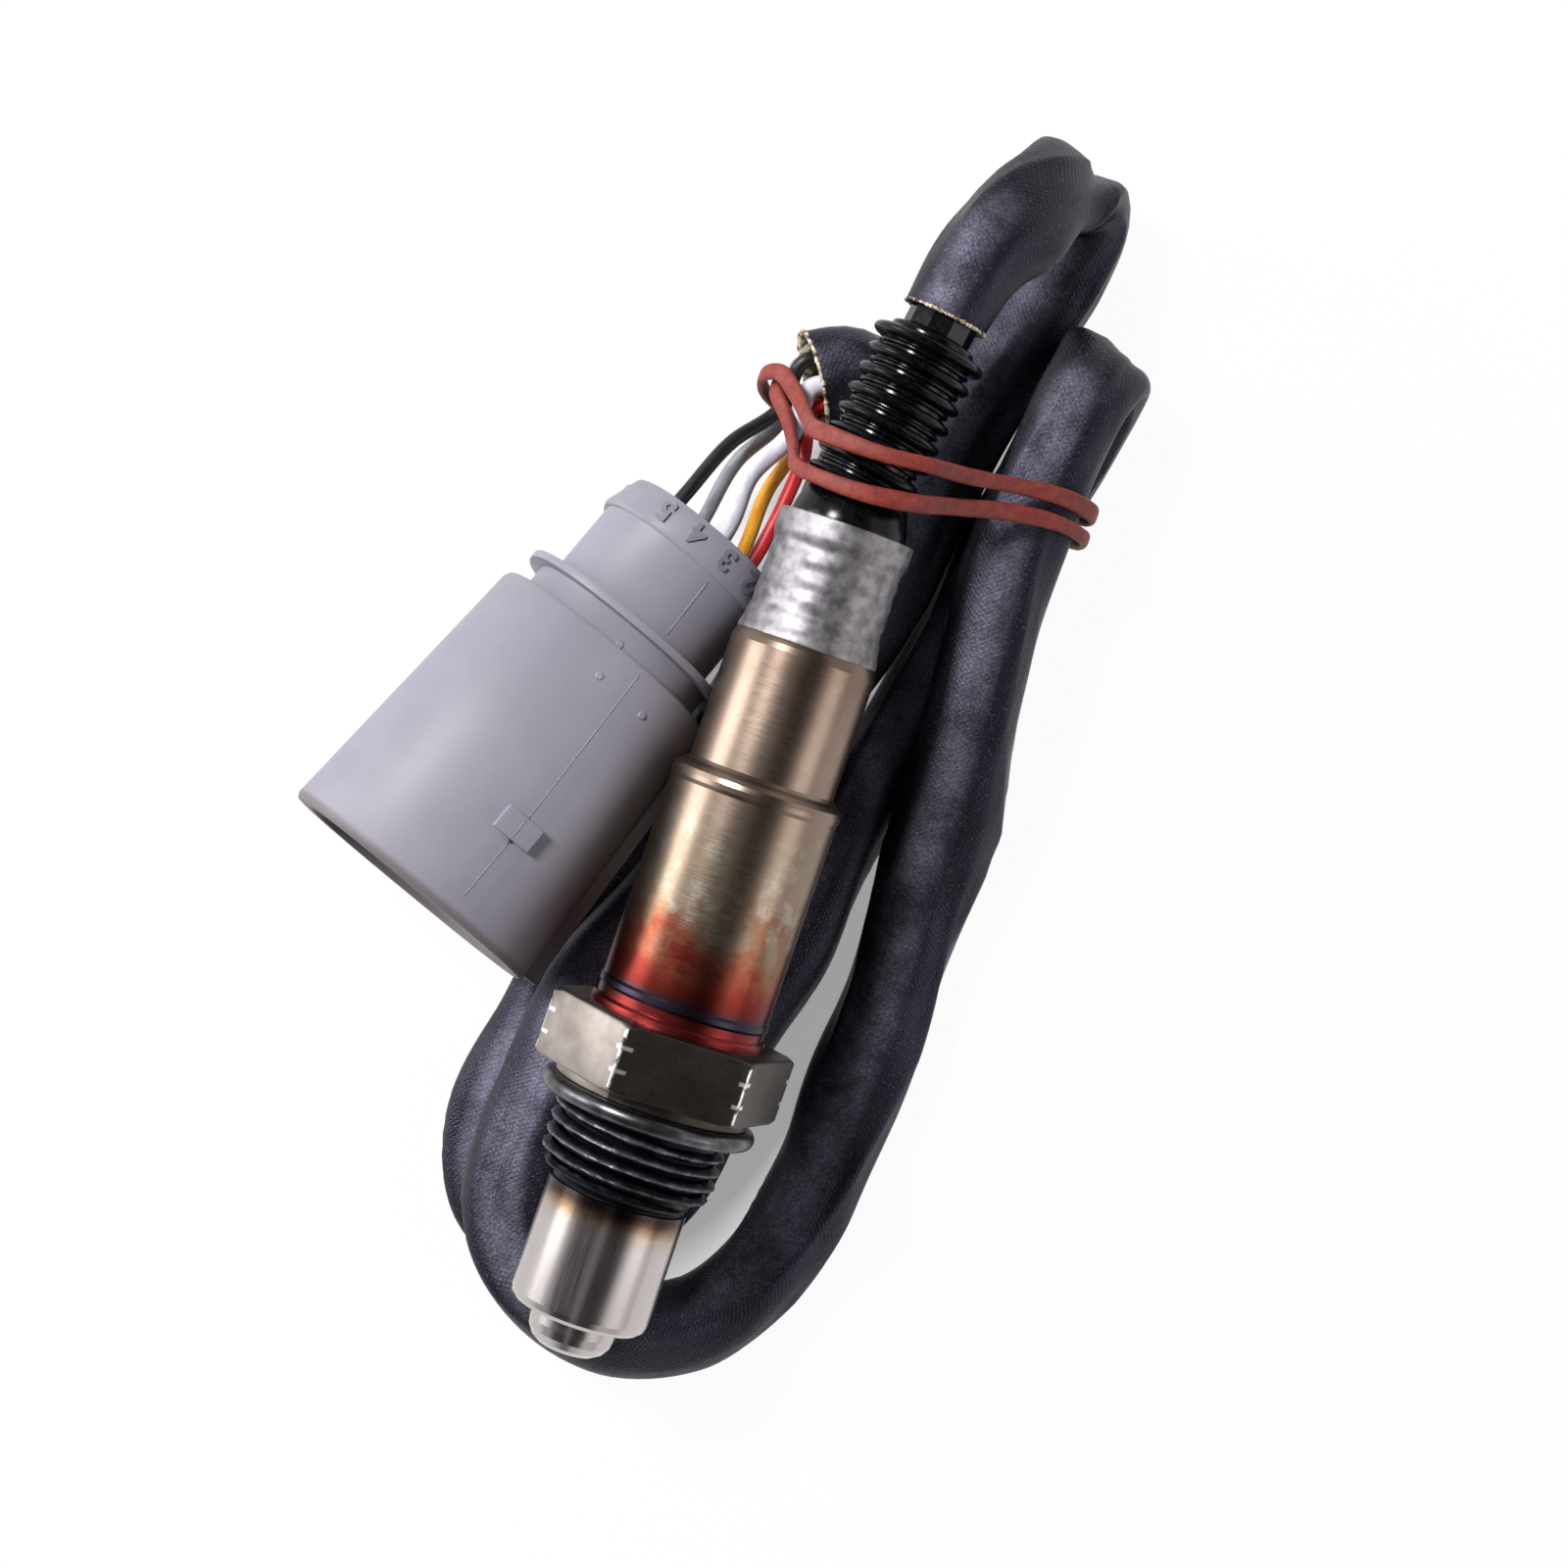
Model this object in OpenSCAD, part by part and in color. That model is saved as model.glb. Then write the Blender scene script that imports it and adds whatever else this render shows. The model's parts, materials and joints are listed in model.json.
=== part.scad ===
// Wideband oxygen sensor with its sheathed lead folded up and its six-way connector.
// The sensor's axis is Y: the tip points to -Y and the lead leaves at +Y.
// The origin is on that axis, in the plane where the gasket meets the exhaust boss.

/* [Hexagon and gasket] */
// Hexagon across its flats
hex_af = 22; // [21:0.5:27]
// Height of the hexagon
hex_h = 6.8; // [5:0.1:12]
// Clocking of the hexagon round the axis
hex_turn = 49; // [0:1:59]
// Height of the turned chamfer at the hexagon's corners
hex_chamfer = 0.35; // [0.2:0.05:1.2]
// Depth of the two index notches across each corner
notch_depth = 0.45; // [0.2:0.05:0.8]
// Diameter of the collar that the gasket seats on
collar_d = 20; // [19.6:0.1:20.8]
// Height of the collar
collar_h = 1.1; // [0.6:0.1:3]
// Outer diameter of the gasket
gasket_d = 22.2; // [21:0.1:25]
// Thickness of the gasket
gasket_t = 1.8; // [1.2:0.1:2.4]
// Sheet thickness of the folded gasket
gasket_sheet = 0.35; // [0.25:0.05:0.5]

/* [Thread] */
// Major diameter of the thread
thread_d = 18; // [17:0.1:18.6]
// Length of the thread below the sealing plane
thread_l = 7.5; // [6:0.1:14]
// Chamfer at the end of the thread
thread_chamfer = 0.7; // [0.4:0.1:1.2]
// Depth of the relief under the gasket
relief_depth = 0.5; // [0.3:0.1:0.8]
// Radial gap between the relief and the captive gasket
gasket_gap = 0.15; // [0.1:0.05:0.2]

/* [Protection tubes] */
// Diameter of the outer tube
tube_d = 14.3; // [13:0.1:15.2]
// Length of the outer tube down to its shoulder
tube_l = 12.8; // [10:0.1:20]
// Diameter of the nose below the shoulder
nose_d = 8.9; // [8:0.1:10.4]
// Length of the nose
nose_l = 3.7; // [3:0.1:8]
// Sheet thickness of both tubes
tube_wall = 0.5; // [0.4:0.05:0.6]
// Number of gas inlets in the shoulder
inlet_n = 8; // [4:1:10]
// Diameter of a gas inlet
inlet_d = 1.2; // [0.8:0.1:1.4]
// Diameter of the gas outlet in the nose
outlet_d = 2.4; // [1:0.1:4]
// Diameter of the inner tube
inner_tube_d = 8.8; // [8.6:0.1:9.6]

/* [Barrel] */
// Diameter of the lower barrel
barrel_d = 17.2; // [16.6:0.1:18.4]
// Length of the lower barrel
barrel_l = 23.9; // [20:0.1:40]
// Diameter of the upper barrel
neck_d = 14.9; // [14.2:0.1:16]
// Length of the upper barrel
neck_l = 12.5; // [10:0.1:24]
// Length of the rounded shoulder between them
shoulder_l = 1.9; // [1:0.1:4]
// Sheet thickness of the barrel
barrel_wall = 0.5; // [0.4:0.05:0.6]
// How far the foot flange stands out of the barrel
foot_out = 0.4; // [0.2:0.05:0.7]
// Height of the foot flange
foot_h = 0.9; // [0.5:0.1:1.5]

/* [Crimp sleeve] */
// Length of the crimp sleeve that shows
sleeve_l = 12.5; // [9:0.1:20]
// Length of the sleeve inside the barrel
sleeve_in = 6; // [3:0.1:10]
// Number of rows of crimp flats
crimp_rows = 5; // [2:1:8]
// Number of flats in a row
crimp_n = 13; // [13:1:24]
// Depth that the flats are pressed in
crimp_depth = 0.22; // [0.1:0.02:0.4]

/* [Boot] */
// Length of the boot's taper above the sleeve
taper_l = 3.5; // [2:0.1:8]
// Outer diameter of the bellows
bellows_d = 11; // [9:0.1:11.5]
// Depth of a fold
fold_depth = 1.1; // [0.5:0.05:1.3]
// Number of large folds, each but the last followed by a small one
fold_n = 8; // [4:1:10]
// Distance from one large fold to the next
fold_pitch = 2.15; // [1.7:0.05:2.4]
// Lean of the bellows to one side
boot_lean = 8; // [0:1:15]
// Diameter of the cuff that the sheath slides over
cuff_d = 7; // [6:0.1:7.4]
// Length of the cuff
cuff_l = 9; // [7:0.1:9.4]
// Bore of the boot
boot_bore = 5; // [4.8:0.1:5.4]

/* [Inside the sensor] */
// Width of the sensing element
element_w = 4.2; // [3:0.1:4.6]
// Thickness of the sensing element
element_t = 1.3; // [1:0.05:1.6]
// Length of the sensing element
element_l = 52; // [48:0.5:54]
// Diameter of the chamber for ceramics and packing
chamber_d = 12.4; // [11.6:0.1:13]
// Length of the lower ceramic
lower_ceramic_l = 5.4; // [4:0.1:6]
// Length of the talc packing
talc_l = 5.5; // [4:0.1:6]
// Length of the upper ceramic inside the chamber
upper_ceramic_l = 8; // [6:0.1:9]
// Thickness of the press ring
press_ring_t = 1.8; // [1:0.1:2.5]
// Length of the ceramic contact holder
holder_l = 15; // [12:0.1:17]
// Radius of the circle on which the leads lie
lead_circle_r = 3.6; // [3.3:0.1:4.2]
// Diameter of a lead inside the sensor
lead_d = 1.3; // [1:0.05:1.4]
// Number of leads
lead_n = 5; // [3:1:5]

/* [Sheath and wires] */
// Diameter of the sheath where it is round
sheath_d = 7.8; // [7:0.1:7.8]
// Thickness of the sheath's sleeve at its two open ends
sheath_wall = 0.45; // [0.3:0.05:0.6]
// Diameter of the signal wires
wire_d = 1.5; // [1:0.05:1.6]
// Diameter of the heater wire
heater_wire_d = 2; // [1.4:0.05:2.2]
// Width of the rubber band
band_w = 2; // [1:0.1:2.2]
// Thickness of the rubber band
band_t = 0.9; // [0.6:0.05:1]

/* [Connector] */
// Width of the cup at its open end
cup_w = 29; // [28:0.1:30]
// Height of the cup at its open end
cup_h = 24; // [23:0.1:25]
// Width of the cup at its closed end
cup_end_w = 25.9; // [25:0.1:26.4]
// Height of the cup at its closed end
cup_end_h = 21.6; // [21:0.1:23]
// Length of the cup
cup_l = 30.8; // [28:0.1:33]
// Depth of the cup's socket
cup_depth = 22; // [18:0.1:24]
// Wall of the cup
cup_wall = 1.8; // [1.2:0.1:2.4]
// Width of the waist behind the cup
waist_w = 21.2; // [19:0.1:22]
// Height of the waist
waist_h = 17.6; // [17:0.1:19]
// Length of the waist
waist_l = 2.7; // [2:0.1:4]
// Width of the cap's disc
disc_w = 24.2; // [23:0.1:24.6]
// Height of the cap's disc
disc_h = 20.6; // [19:0.1:21]
// Thickness of the disc
disc_t = 0.8; // [0.7:0.1:1.4]
// Width of the cap's neck
cap_neck_w = 18.8; // [18:0.1:19.6]
// Height of the cap's neck
cap_neck_h = 17; // [16.8:0.1:17.4]
// Length of the cap's neck
cap_neck_l = 8.3; // [7:0.1:9]
// Width of the cap's end flange
cap_flange_w = 20; // [19.8:0.1:20.6]
// Height of the cap's end flange
cap_flange_h = 17.6; // [17.5:0.1:18]
// Length of the cap's end flange
cap_flange_l = 3.9; // [3:0.1:4.4]
// Radius of the circle of cavities
cavity_circle_r = 5.6; // [5:0.1:5.8]
// Diameter of a wire cavity
cavity_d = 3.6; // [3.2:0.1:3.8]
// Diameter of a contact pin
pin_d = 1.5; // [1:0.1:1.8]
// Reach of the pins into the socket
pin_reach = 12; // [8:0.1:16]

/* [Hidden] */
$fn = 64;

// Small gaps between pieces that fit together
fit_gap = 0.05;
slide_gap = 0.1;

// Heights along the sensor's axis, from the sealing plane
hex_y = gasket_t + collar_h;
hex_top = hex_y + hex_h;
thread_end = -thread_l - thread_chamfer;
spigot_l = 2.6;
body_end = thread_end - spigot_l;
shoulder_y = hex_top + barrel_l;
neck_y = shoulder_y + shoulder_l;
neck_top = neck_y + neck_l;
roll_l = 1;
sleeve_y = neck_top + roll_l;
sleeve_top = sleeve_y + sleeve_l;
lean_y = sleeve_top + taper_l;
fold_l = (fold_n - 1) * fold_pitch + 1.2;

// Radii that pieces share
hex_corner_r = hex_af / 2 / cos(30);
thread_r = thread_d / 2;
relief_r = thread_r - relief_depth;
barrel_in_r = barrel_d / 2 - barrel_wall;
neck_in_r = neck_d / 2 - barrel_wall;
sleeve_r = neck_in_r - fit_gap;
sleeve_in_r = sleeve_r - barrel_wall;
flat_r = sleeve_r - crimp_depth;
crimp_in_r = flat_r * cos(180 / crimp_n) - barrel_wall;
plug_r = crimp_in_r - fit_gap;
tube_in_r = tube_d / 2 - tube_wall;
nose_in_r = nose_d / 2 - tube_wall;
front_bore_r = inner_tube_d / 2 + fit_gap;
chamber_r = chamber_d / 2;
packing_r = chamber_r - fit_gap;
slot_gap = 0.15;

// The chamber's floor lies a little above the end of the thread
chamber_y = -3.9;
talc_y = chamber_y + lower_ceramic_l;
upper_y = talc_y + talc_l;
press_y = upper_y + upper_ceramic_l;
lip_y = press_y + press_ring_t;
lip_t = 0.7;
body_top = lip_y + lip_t;
lip_r = chamber_r - 0.7;

// The contact holder stands on the upper ceramic's boss
boss_r = lip_r - 0.3;
boss_top = body_top + 1.2;
holder_y = boss_top + fit_gap;
holder_top = holder_y + holder_l;
holder_r = 5.4;
ring_spring_t = 0.4;
element_y = holder_top - 2 - element_l;
spring_w = 0.9;
spring_t = 0.35;
spring_step = 1.35;
terminal_d = lead_d + 0.7;
terminal_l = 5;
terminal_y = holder_top + 0.6;
grommet_y = terminal_y + terminal_l + 0.8;
grommet_top = sleeve_top - 1;
bundle_r = boot_bore / 2 - lead_d / 2 - 0.3;

// How far the bellows stands off the sensor's axis where it starts to lean
boot_x = -0.4;

// The connector's mouth centre, its yaw from Y towards X and its pitch downwards
plug_at = [-29.75, 13.3, -2.7];
plug_yaw = 20.4;
plug_pitch = 11;
waist_z = cup_l;
disc_z = waist_z + waist_l;
cap_neck_z = disc_z + disc_t;
cap_flange_z = cap_neck_z + cap_neck_l;
plug_l = cap_flange_z + cap_flange_l;
carrier_r = cavity_circle_r + cavity_d / 2 + 0.4;
carrier_front = cup_depth - 2.5;
carrier_back = disc_z + 1.2;
lock_t = 2;
seal_z = carrier_back + lock_t + 2.2;
pin_back = seal_z - 0.3;
crimp_bore_l = 3.4;
cavity_turn = 15;

// Cavity number of each wire, counted from the one nearest the sensor
red_cavity = 0;
white_cavity = 1;
black_cavity = 2;
blind_cavity = 3;
grey_cavity = 4;
yellow_cavity = 5;

// Route of the sheath from the cuff to its open end: x, y, z and the height to which it is pressed
sheath_route = [
    [2.2, 84, 0, 7.8], [3.3, 91.5, 0, 7.8], [5.6, 96.5, -2.6, 7.4], [9, 101, -9, 7.4],
    [12.8, 100.5, -14.2, 7.4], [12.5, 94.5, -16.6, 7], [10, 85, -16.8, 7], [8, 75, -15.4, 7.8],
    [6.8, 63, -14.8, 8.2], [4.6, 53, -14.2, 8], [1.6, 41, -13.6, 7.6], [-1.6, 29.5, -13.4, 7.2],
    [-5.4, 18.5, -13, 6.4], [-9.6, 8.5, -12.6, 5.4], [-10.4, -3, -12.3, 5.4], [-10.8, -11, -12, 5.6],
    [-8.5, -18.5, -12, 6.2], [-3, -23, -11.5, 6], [4, -24.5, -12, 6.5], [11.5, -21.5, -14.8, 7],
    [17.5, -12, -17, 7], [20.3, 5, -17, 7], [20.3, 23, -16.4, 7], [19.8, 37, -13.6, 7],
    [18, 51, -10.5, 7], [17, 65, -9.3, 7], [17.5, 77, -9, 7], [18.6, 83.4, -9.6, 6.4],
    [19.8, 86.2, -12.8, 5.6], [19.8, 83.6, -16.6, 6], [18.6, 77, -16.6, 6.4], [17, 70, -16.2, 6.4],
    [13.5, 50, -17, 7], [10, 28, -17, 7],
    [6, 4, -16.7, 7.4], [3.5, -10, -17, 7], [-3.5, -18.5, -17.8, 5.4], [-11.2, -17, -17.9, 5.2],
    [-14.3, -9, -17.9, 5.2], [-13.4, 3, -17.9, 5.2], [-11, 16, -17.7, 5.6], [-5, 36, -17.6, 5.8],
    [-1.6, 53, -17.2, 6.4], [-1.2, 65, -16.2, 7.6], [-0.4, 71.5, -15.2, 8.2], [-0.9, 76.5, -14.6, 8.4],
    [-4.6, 77.5, -13.4, 7.4], [-8.4, 75.3, -12.2, 6.6]];
sheath_sides = 12;
cuff_pocket = 7;
wire_pocket = 3.2;

// Each wire's place across and out of the sheath's open end, a point under the band and a free one
black_way = [[2, 0.7, 0.5], [-10.6, 71.6, -12.8], [-14.2, 66.3, -10.6]];
grey_way = [[2, -1.4, 0.5], [-9.9, 71.2, -14.2], [-13.2, 65, -14.6]];
white_way = [[-0.9, 1.3, 0.5], [-8.5, 69.5, -10.6], [-11.2, 63.6, -8.8]];
yellow_way = [[-1, -1.4, 0.5], [-7.9, 68.1, -12.6], [-9.2, 63.2, -14.2]];
red_way = [[-2.9, 0.2, 0.1], [-6.7, 67, -10.5], [-6.9, 63.7, -10.6]];

// Route of the rubber band, wound twice round the bellows, the sheath and the wires
band_route = [
    [-11.6, 74.6, -9.6], [-9.4, 72.9, -7.6], [-7.6, 70.9, -4.4], [-6.4, 69.6, 0.6], [-4.6, 69.1, 5],
    [0.9, 68.9, 6.7], [5.6, 69.4, 5.8], [9.6, 70, 1.4], [14.7, 71, -2.4], [19.4, 71.6, -4.8],
    [22.7, 71.4, -8.4], [23.1, 71.2, -14], [22.2, 71.4, -18.6], [19, 71.6, -20], [8, 72.5, -20],
    [-3, 73.5, -20], [-8.4, 74, -19.4], [-11.4, 74, -16.4], [-11.9, 73.3, -12.4], [-9.4, 70.2, -9],
    [-7.9, 67.8, -5.5], [-6.9, 65.7, 0.2], [-5.1, 65, 4.9], [0.3, 64.8, 6.7], [4.8, 65.4, 5.8],
    [9.4, 66.8, 1.2], [15.1, 68.4, -2.8], [19.8, 69, -4.9], [22.7, 68.8, -8.4], [23.1, 68.6, -14],
    [22.2, 68.8, -18.6], [19, 69, -20], [8, 69.8, -20], [-3, 70.8, -20], [-9, 71.6, -19.4],
    [-13, 73, -16], [-13.2, 74.3, -12]];
band_sides = 8;

// Helpers for sweeping a section along a route
function unit(v) = v / norm(v);
function place(p) = [p[0], p[1], p[2]];
function tangents(p) = [for (i = [0 : len(p) - 1])
    unit(place(p[min(i + 1, len(p) - 1)]) - place(p[max(i - 1, 0)]))];
function next_side(side, t) = let (c = cross(t, [0, 0, 1]))
    norm(c) > 0.45 ? unit(c) * (c * side < 0 ? -1 : 1) : unit(side - (side * t) * t);
function sides(t) = [for (i = 0, s = unit(cross(t[0], [0, 0, 1])); i < len(t);
    i = i + 1, s = i < len(t) ? next_side(s, t[i]) : s) s];
function ring(c, side, t, w, h, n) = let (up = cross(side, t))
    [for (k = [0 : n - 1]) c + w / 2 * cos(360 * k / n) * side + h / 2 * sin(360 * k / n) * up];
function pressed_width(d, h) = sqrt(2 * d * d - h * h);

// Closed solid through a list of rings, with flat ends
module skin(rings) {
    n = len(rings[0]);
    last = len(rings) - 1;
    points = [for (r = rings) for (p = r) p];
    walls = [for (i = [0 : last - 1]) for (k = [0 : n - 1]) for (half = [0, 1])
        let (a = i * n + k, b = i * n + (k + 1) % n)
        half == 0 ? [a, b, b + n] : [a, b + n, a + n]];
    start_cap = [for (k = [n - 1 : -1 : 0]) k];
    end_cap = [for (k = [0 : n - 1]) last * n + k];
    polyhedron(points = points, faces = concat([start_cap], walls, [end_cap]));
}

// Solid through flat-topped ovals, each given as its width, its height and its place along Z
oval_sides = 48;
oval_power = 2.4;
function oval(w, h, z) = [for (k = [0 : oval_sides - 1])
    let (c = cos(360 * k / oval_sides), s = sin(360 * k / oval_sides))
    [w / 2 * sign(c) * pow(abs(c), 2 / oval_power), -h / 2 * sign(s) * pow(abs(s), 2 / oval_power), z]];
module ovals(list) {
    skin([for (p = list) oval(p[0], p[1], p[2])]);
}

// Round wire of one diameter along a route
module wire(route, d) {
    t = tangents(route);
    s = sides(t);
    skin([for (i = [0 : len(route) - 1]) ring(route[i], s[i], t[i], d, d, 8)]);
}

// Frames of the sensor and of its leaning boot
module on_axis(y = 0) {
    translate([0, y, 0]) rotate([-90, 0, 0]) children();
}

module on_boot() {
    translate([boot_x, lean_y, 0]) rotate([0, 0, -boot_lean]) rotate([-90, 0, 0]) children();
}

// Frame of the connector, its Z running from the mouth to the wire end
module on_plug(z = 0) {
    translate(plug_at) rotate([0, 0, -plug_yaw]) rotate([-90 - plug_pitch, 0, 0])
        translate([0, 0, z]) children();
}

// The same frame as a function, for the ends of the wires
function plug_point(p) = let (
        y = p[2] * cos(plug_pitch) - p[1] * sin(plug_pitch),
        z = -p[2] * sin(plug_pitch) - p[1] * cos(plug_pitch))
    plug_at + [p[0] * cos(plug_yaw) + y * sin(plug_yaw), y * cos(plug_yaw) - p[0] * sin(plug_yaw), z];
function cavity_angle(k) = cavity_turn + 60 * k;
function cavity_point(k, z) = plug_point(
    [cavity_circle_r * cos(cavity_angle(k)), -cavity_circle_r * sin(cavity_angle(k)), z]);

module at_cavity(k) {
    rotate([0, 0, -cavity_angle(k)]) translate([cavity_circle_r, 0, 0]) rotate([0, 0, cavity_angle(k)])
        children();
}

// Turned ring between two heights
module band_ring(r, r_in, z0, z1) {
    difference() {
        translate([0, 0, z0]) cylinder(r = r, h = z1 - z0);
        translate([0, 0, z0 - 1]) cylinder(r = r_in, h = z1 - z0 + 2);
    }
}

module element_slot(z0, z1) {
    translate([-element_w / 2 - slot_gap, -element_t / 2 - slot_gap, z0])
        cube([element_w + 2 * slot_gap, element_t + 2 * slot_gap, z1 - z0]);
}

// Hexagon with turned chamfers and two index notches across each corner
module hexagon() {
    notch_w = 0.5;
    chamfer_r = hex_corner_r - hex_chamfer * 1.9;
    difference() {
        intersection() {
            rotate([0, 0, -hex_turn]) linear_extrude(hex_h) circle(r = hex_corner_r, $fn = 6);
            rotate_extrude() polygon([[0, 0], [chamfer_r, 0], [hex_corner_r, hex_chamfer],
                [hex_corner_r, hex_h - hex_chamfer], [chamfer_r, hex_h], [0, hex_h]]);
        }
        for (z = [0.42, 0.62] * hex_h)
            band_ring(hex_corner_r + 1, hex_corner_r - notch_depth, z, z + notch_w);
    }
}

module hex_body() {
    color("dimgray") on_axis() difference() {
        union() {
            translate([0, 0, hex_y]) hexagon();
            translate([0, 0, gasket_t]) cylinder(d = collar_d, h = collar_h);
            cylinder(r = relief_r, h = gasket_t);
            translate([0, 0, -thread_l]) cylinder(r = thread_r, h = thread_l);
            translate([0, 0, thread_end])
                cylinder(r1 = thread_r - thread_chamfer, r2 = thread_r, h = thread_chamfer);
            translate([0, 0, body_end]) cylinder(r = tube_in_r - fit_gap, h = spigot_l);
            translate([0, 0, hex_top]) cylinder(r = barrel_in_r - fit_gap, h = body_top - hex_top);
        }
        translate([0, 0, body_end - 1]) cylinder(r = front_bore_r, h = chamber_y - body_end + 1);
        translate([0, 0, chamber_y]) cylinder(r = chamber_r, h = lip_y - chamber_y);
        translate([0, 0, lip_y - 0.5]) cylinder(r = lip_r, h = lip_t + 1);
    }
}

// Folded sheet ring, open towards the thread
module gasket_ring() {
    r_in = relief_r + gasket_gap;
    r_out = gasket_d / 2;
    bend = gasket_t / 2;
    color("slategray") on_axis() rotate_extrude() difference() {
        union() {
            translate([r_in, 0]) square([r_out - bend - r_in, gasket_t]);
            translate([r_out - bend, bend]) circle(r = bend, $fn = 32);
        }
        translate([r_in - 1, gasket_sheet])
            square([r_out - bend - r_in + 1, gasket_t - 2 * gasket_sheet]);
    }
}

module outer_protection_tube() {
    top = thread_end - fit_gap;
    rim = top - tube_l;
    tip = rim - nose_l;
    edge = 1.2;
    dome = 2.4;
    inner = dome - tube_wall;
    inlet_circle_r = (tube_in_r + nose_d / 2) / 2;
    color("silver") on_axis() difference() {
        rotate_extrude() polygon(concat(
            [[tube_in_r, top], [tube_d / 2, top]],
            [for (a = [0 : 30 : 90]) [tube_d / 2 - edge * (1 - cos(a)), rim + edge * (1 - sin(a))]],
            [[nose_d / 2, rim]],
            [for (a = [0 : 22.5 : 90]) [nose_d / 2 - dome * (1 - cos(a)), tip + dome * (1 - sin(a))]],
            [[outlet_d / 2, tip], [outlet_d / 2, tip + tube_wall]],
            [for (a = [90 : -22.5 : 0]) [nose_in_r - inner * (1 - cos(a)), tip + dome - inner * sin(a)]],
            [[nose_in_r, rim + tube_wall], [tube_in_r - edge + tube_wall, rim + tube_wall],
                [tube_in_r, rim + edge]]));
        for (k = [0 : inlet_n - 1]) rotate([0, 0, 360 * (k + 0.5) / inlet_n])
            translate([inlet_circle_r, 0, rim - 1]) cylinder(d = inlet_d, h = 3, $fn = 24);
    }
}

module inner_protection_tube() {
    top = body_end + 4.6;
    rim = thread_end - fit_gap - tube_l;
    tip = rim - nose_l + tube_wall + 2;
    r = inner_tube_d / 2;
    waist_r = min(r, nose_in_r - fit_gap);
    port_d = 1.5;
    color("lightgray") on_axis() difference() {
        rotate_extrude() polygon([
            [r - tube_wall, top], [r, top], [r, rim + 2.6], [waist_r, rim + 1.4], [waist_r, tip],
            [outlet_d / 2, tip], [outlet_d / 2, tip + tube_wall], [waist_r - tube_wall, tip + tube_wall],
            [waist_r - tube_wall, rim + 1.6], [r - tube_wall, rim + 2.8]]);
        for (k = [0 : 5]) rotate([0, 0, 60 * k]) translate([0, 0, body_end - 2.4])
            rotate([0, 90, 0]) cylinder(d = port_d, h = r + 1, $fn = 24);
    }
}

// Deep drawn sleeve with a foot flange, a weld bead and a stepped shoulder
module barrel_sleeve() {
    r = barrel_d / 2;
    neck_r = neck_d / 2;
    bead = 0.15;
    color("rosybrown") on_axis() rotate_extrude() polygon([
        [barrel_in_r, hex_top], [r + foot_out, hex_top], [r + foot_out, hex_top + foot_h * 0.7],
        [r + foot_out * 0.6, hex_top + foot_h], [r, hex_top + foot_h], [r, hex_top + foot_h + 0.9],
        [r + bead, hex_top + foot_h + 1.2], [r + bead, hex_top + foot_h + 1.7],
        [r, hex_top + foot_h + 2], [r, shoulder_y - 0.5], [r + bead * 0.7, shoulder_y - 0.1],
        [r + bead, shoulder_y + 0.4], [r + bead * 0.4, shoulder_y + 0.9], [r - 0.4, neck_y - 0.6],
        [neck_r + 0.25, neck_y - 0.25], [neck_r, neck_y + 0.1], [neck_r, neck_top],
        [neck_r - 0.15, neck_top + roll_l * 0.6],
        [neck_in_r + 0.2, sleeve_y], [neck_in_r, sleeve_y], [neck_in_r, neck_y - barrel_wall],
        [barrel_in_r, shoulder_y - barrel_wall]]);
}

// Thin sleeve whose showing end is pressed into rows of flats
module crimp_sleeve() {
    flare = 0.35;
    plain_l = 2;
    top_l = 0.8;
    row_y = sleeve_y + plain_l;
    row_pitch = (sleeve_top - row_y - top_l) / crimp_rows;
    row_gap = 0.5;
    color("silver") on_axis() difference() {
        union() {
            translate([0, 0, sleeve_y - sleeve_in]) cylinder(r = sleeve_r, h = sleeve_in);
            rotate_extrude() polygon([[0, sleeve_y], [sleeve_r, sleeve_y], [sleeve_r + flare, sleeve_y + 0.3],
                [sleeve_r + flare, sleeve_y + 0.7], [sleeve_r, row_y], [0, row_y]]);
            translate([0, 0, row_y]) cylinder(r = flat_r * cos(180 / crimp_n), h = sleeve_top - row_y);
            for (k = [0 : crimp_rows - 1]) translate([0, 0, row_y + k * row_pitch]) {
                linear_extrude(row_pitch - row_gap)
                    polygon([for (a = [0 : crimp_n - 1]) flat_r * [cos(360 * a / crimp_n), sin(360 * a / crimp_n)]]);
                translate([0, 0, row_pitch - row_gap]) cylinder(r = flat_r + 0.1, h = row_gap);
            }
            translate([0, 0, sleeve_top - top_l]) cylinder(r = flat_r, h = top_l);
        }
        translate([0, 0, sleeve_y - sleeve_in - 1]) cylinder(r = sleeve_in_r, h = sleeve_in + 2);
        translate([0, 0, sleeve_y]) cylinder(r = crimp_in_r, h = sleeve_l + 1);
    }
}

// Rubber plug that the sleeve is crimped on
module grommet() {
    color("black") on_axis(grommet_y) difference() {
        cylinder(r = plug_r, h = grommet_top - grommet_y);
        for (k = [0 : lead_n - 1]) rotate([0, 0, 360 * k / lead_n])
            translate([lead_circle_r, 0, -1]) cylinder(d = lead_d + 2 * fit_gap, h = grommet_top - grommet_y + 2);
    }
}

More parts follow.
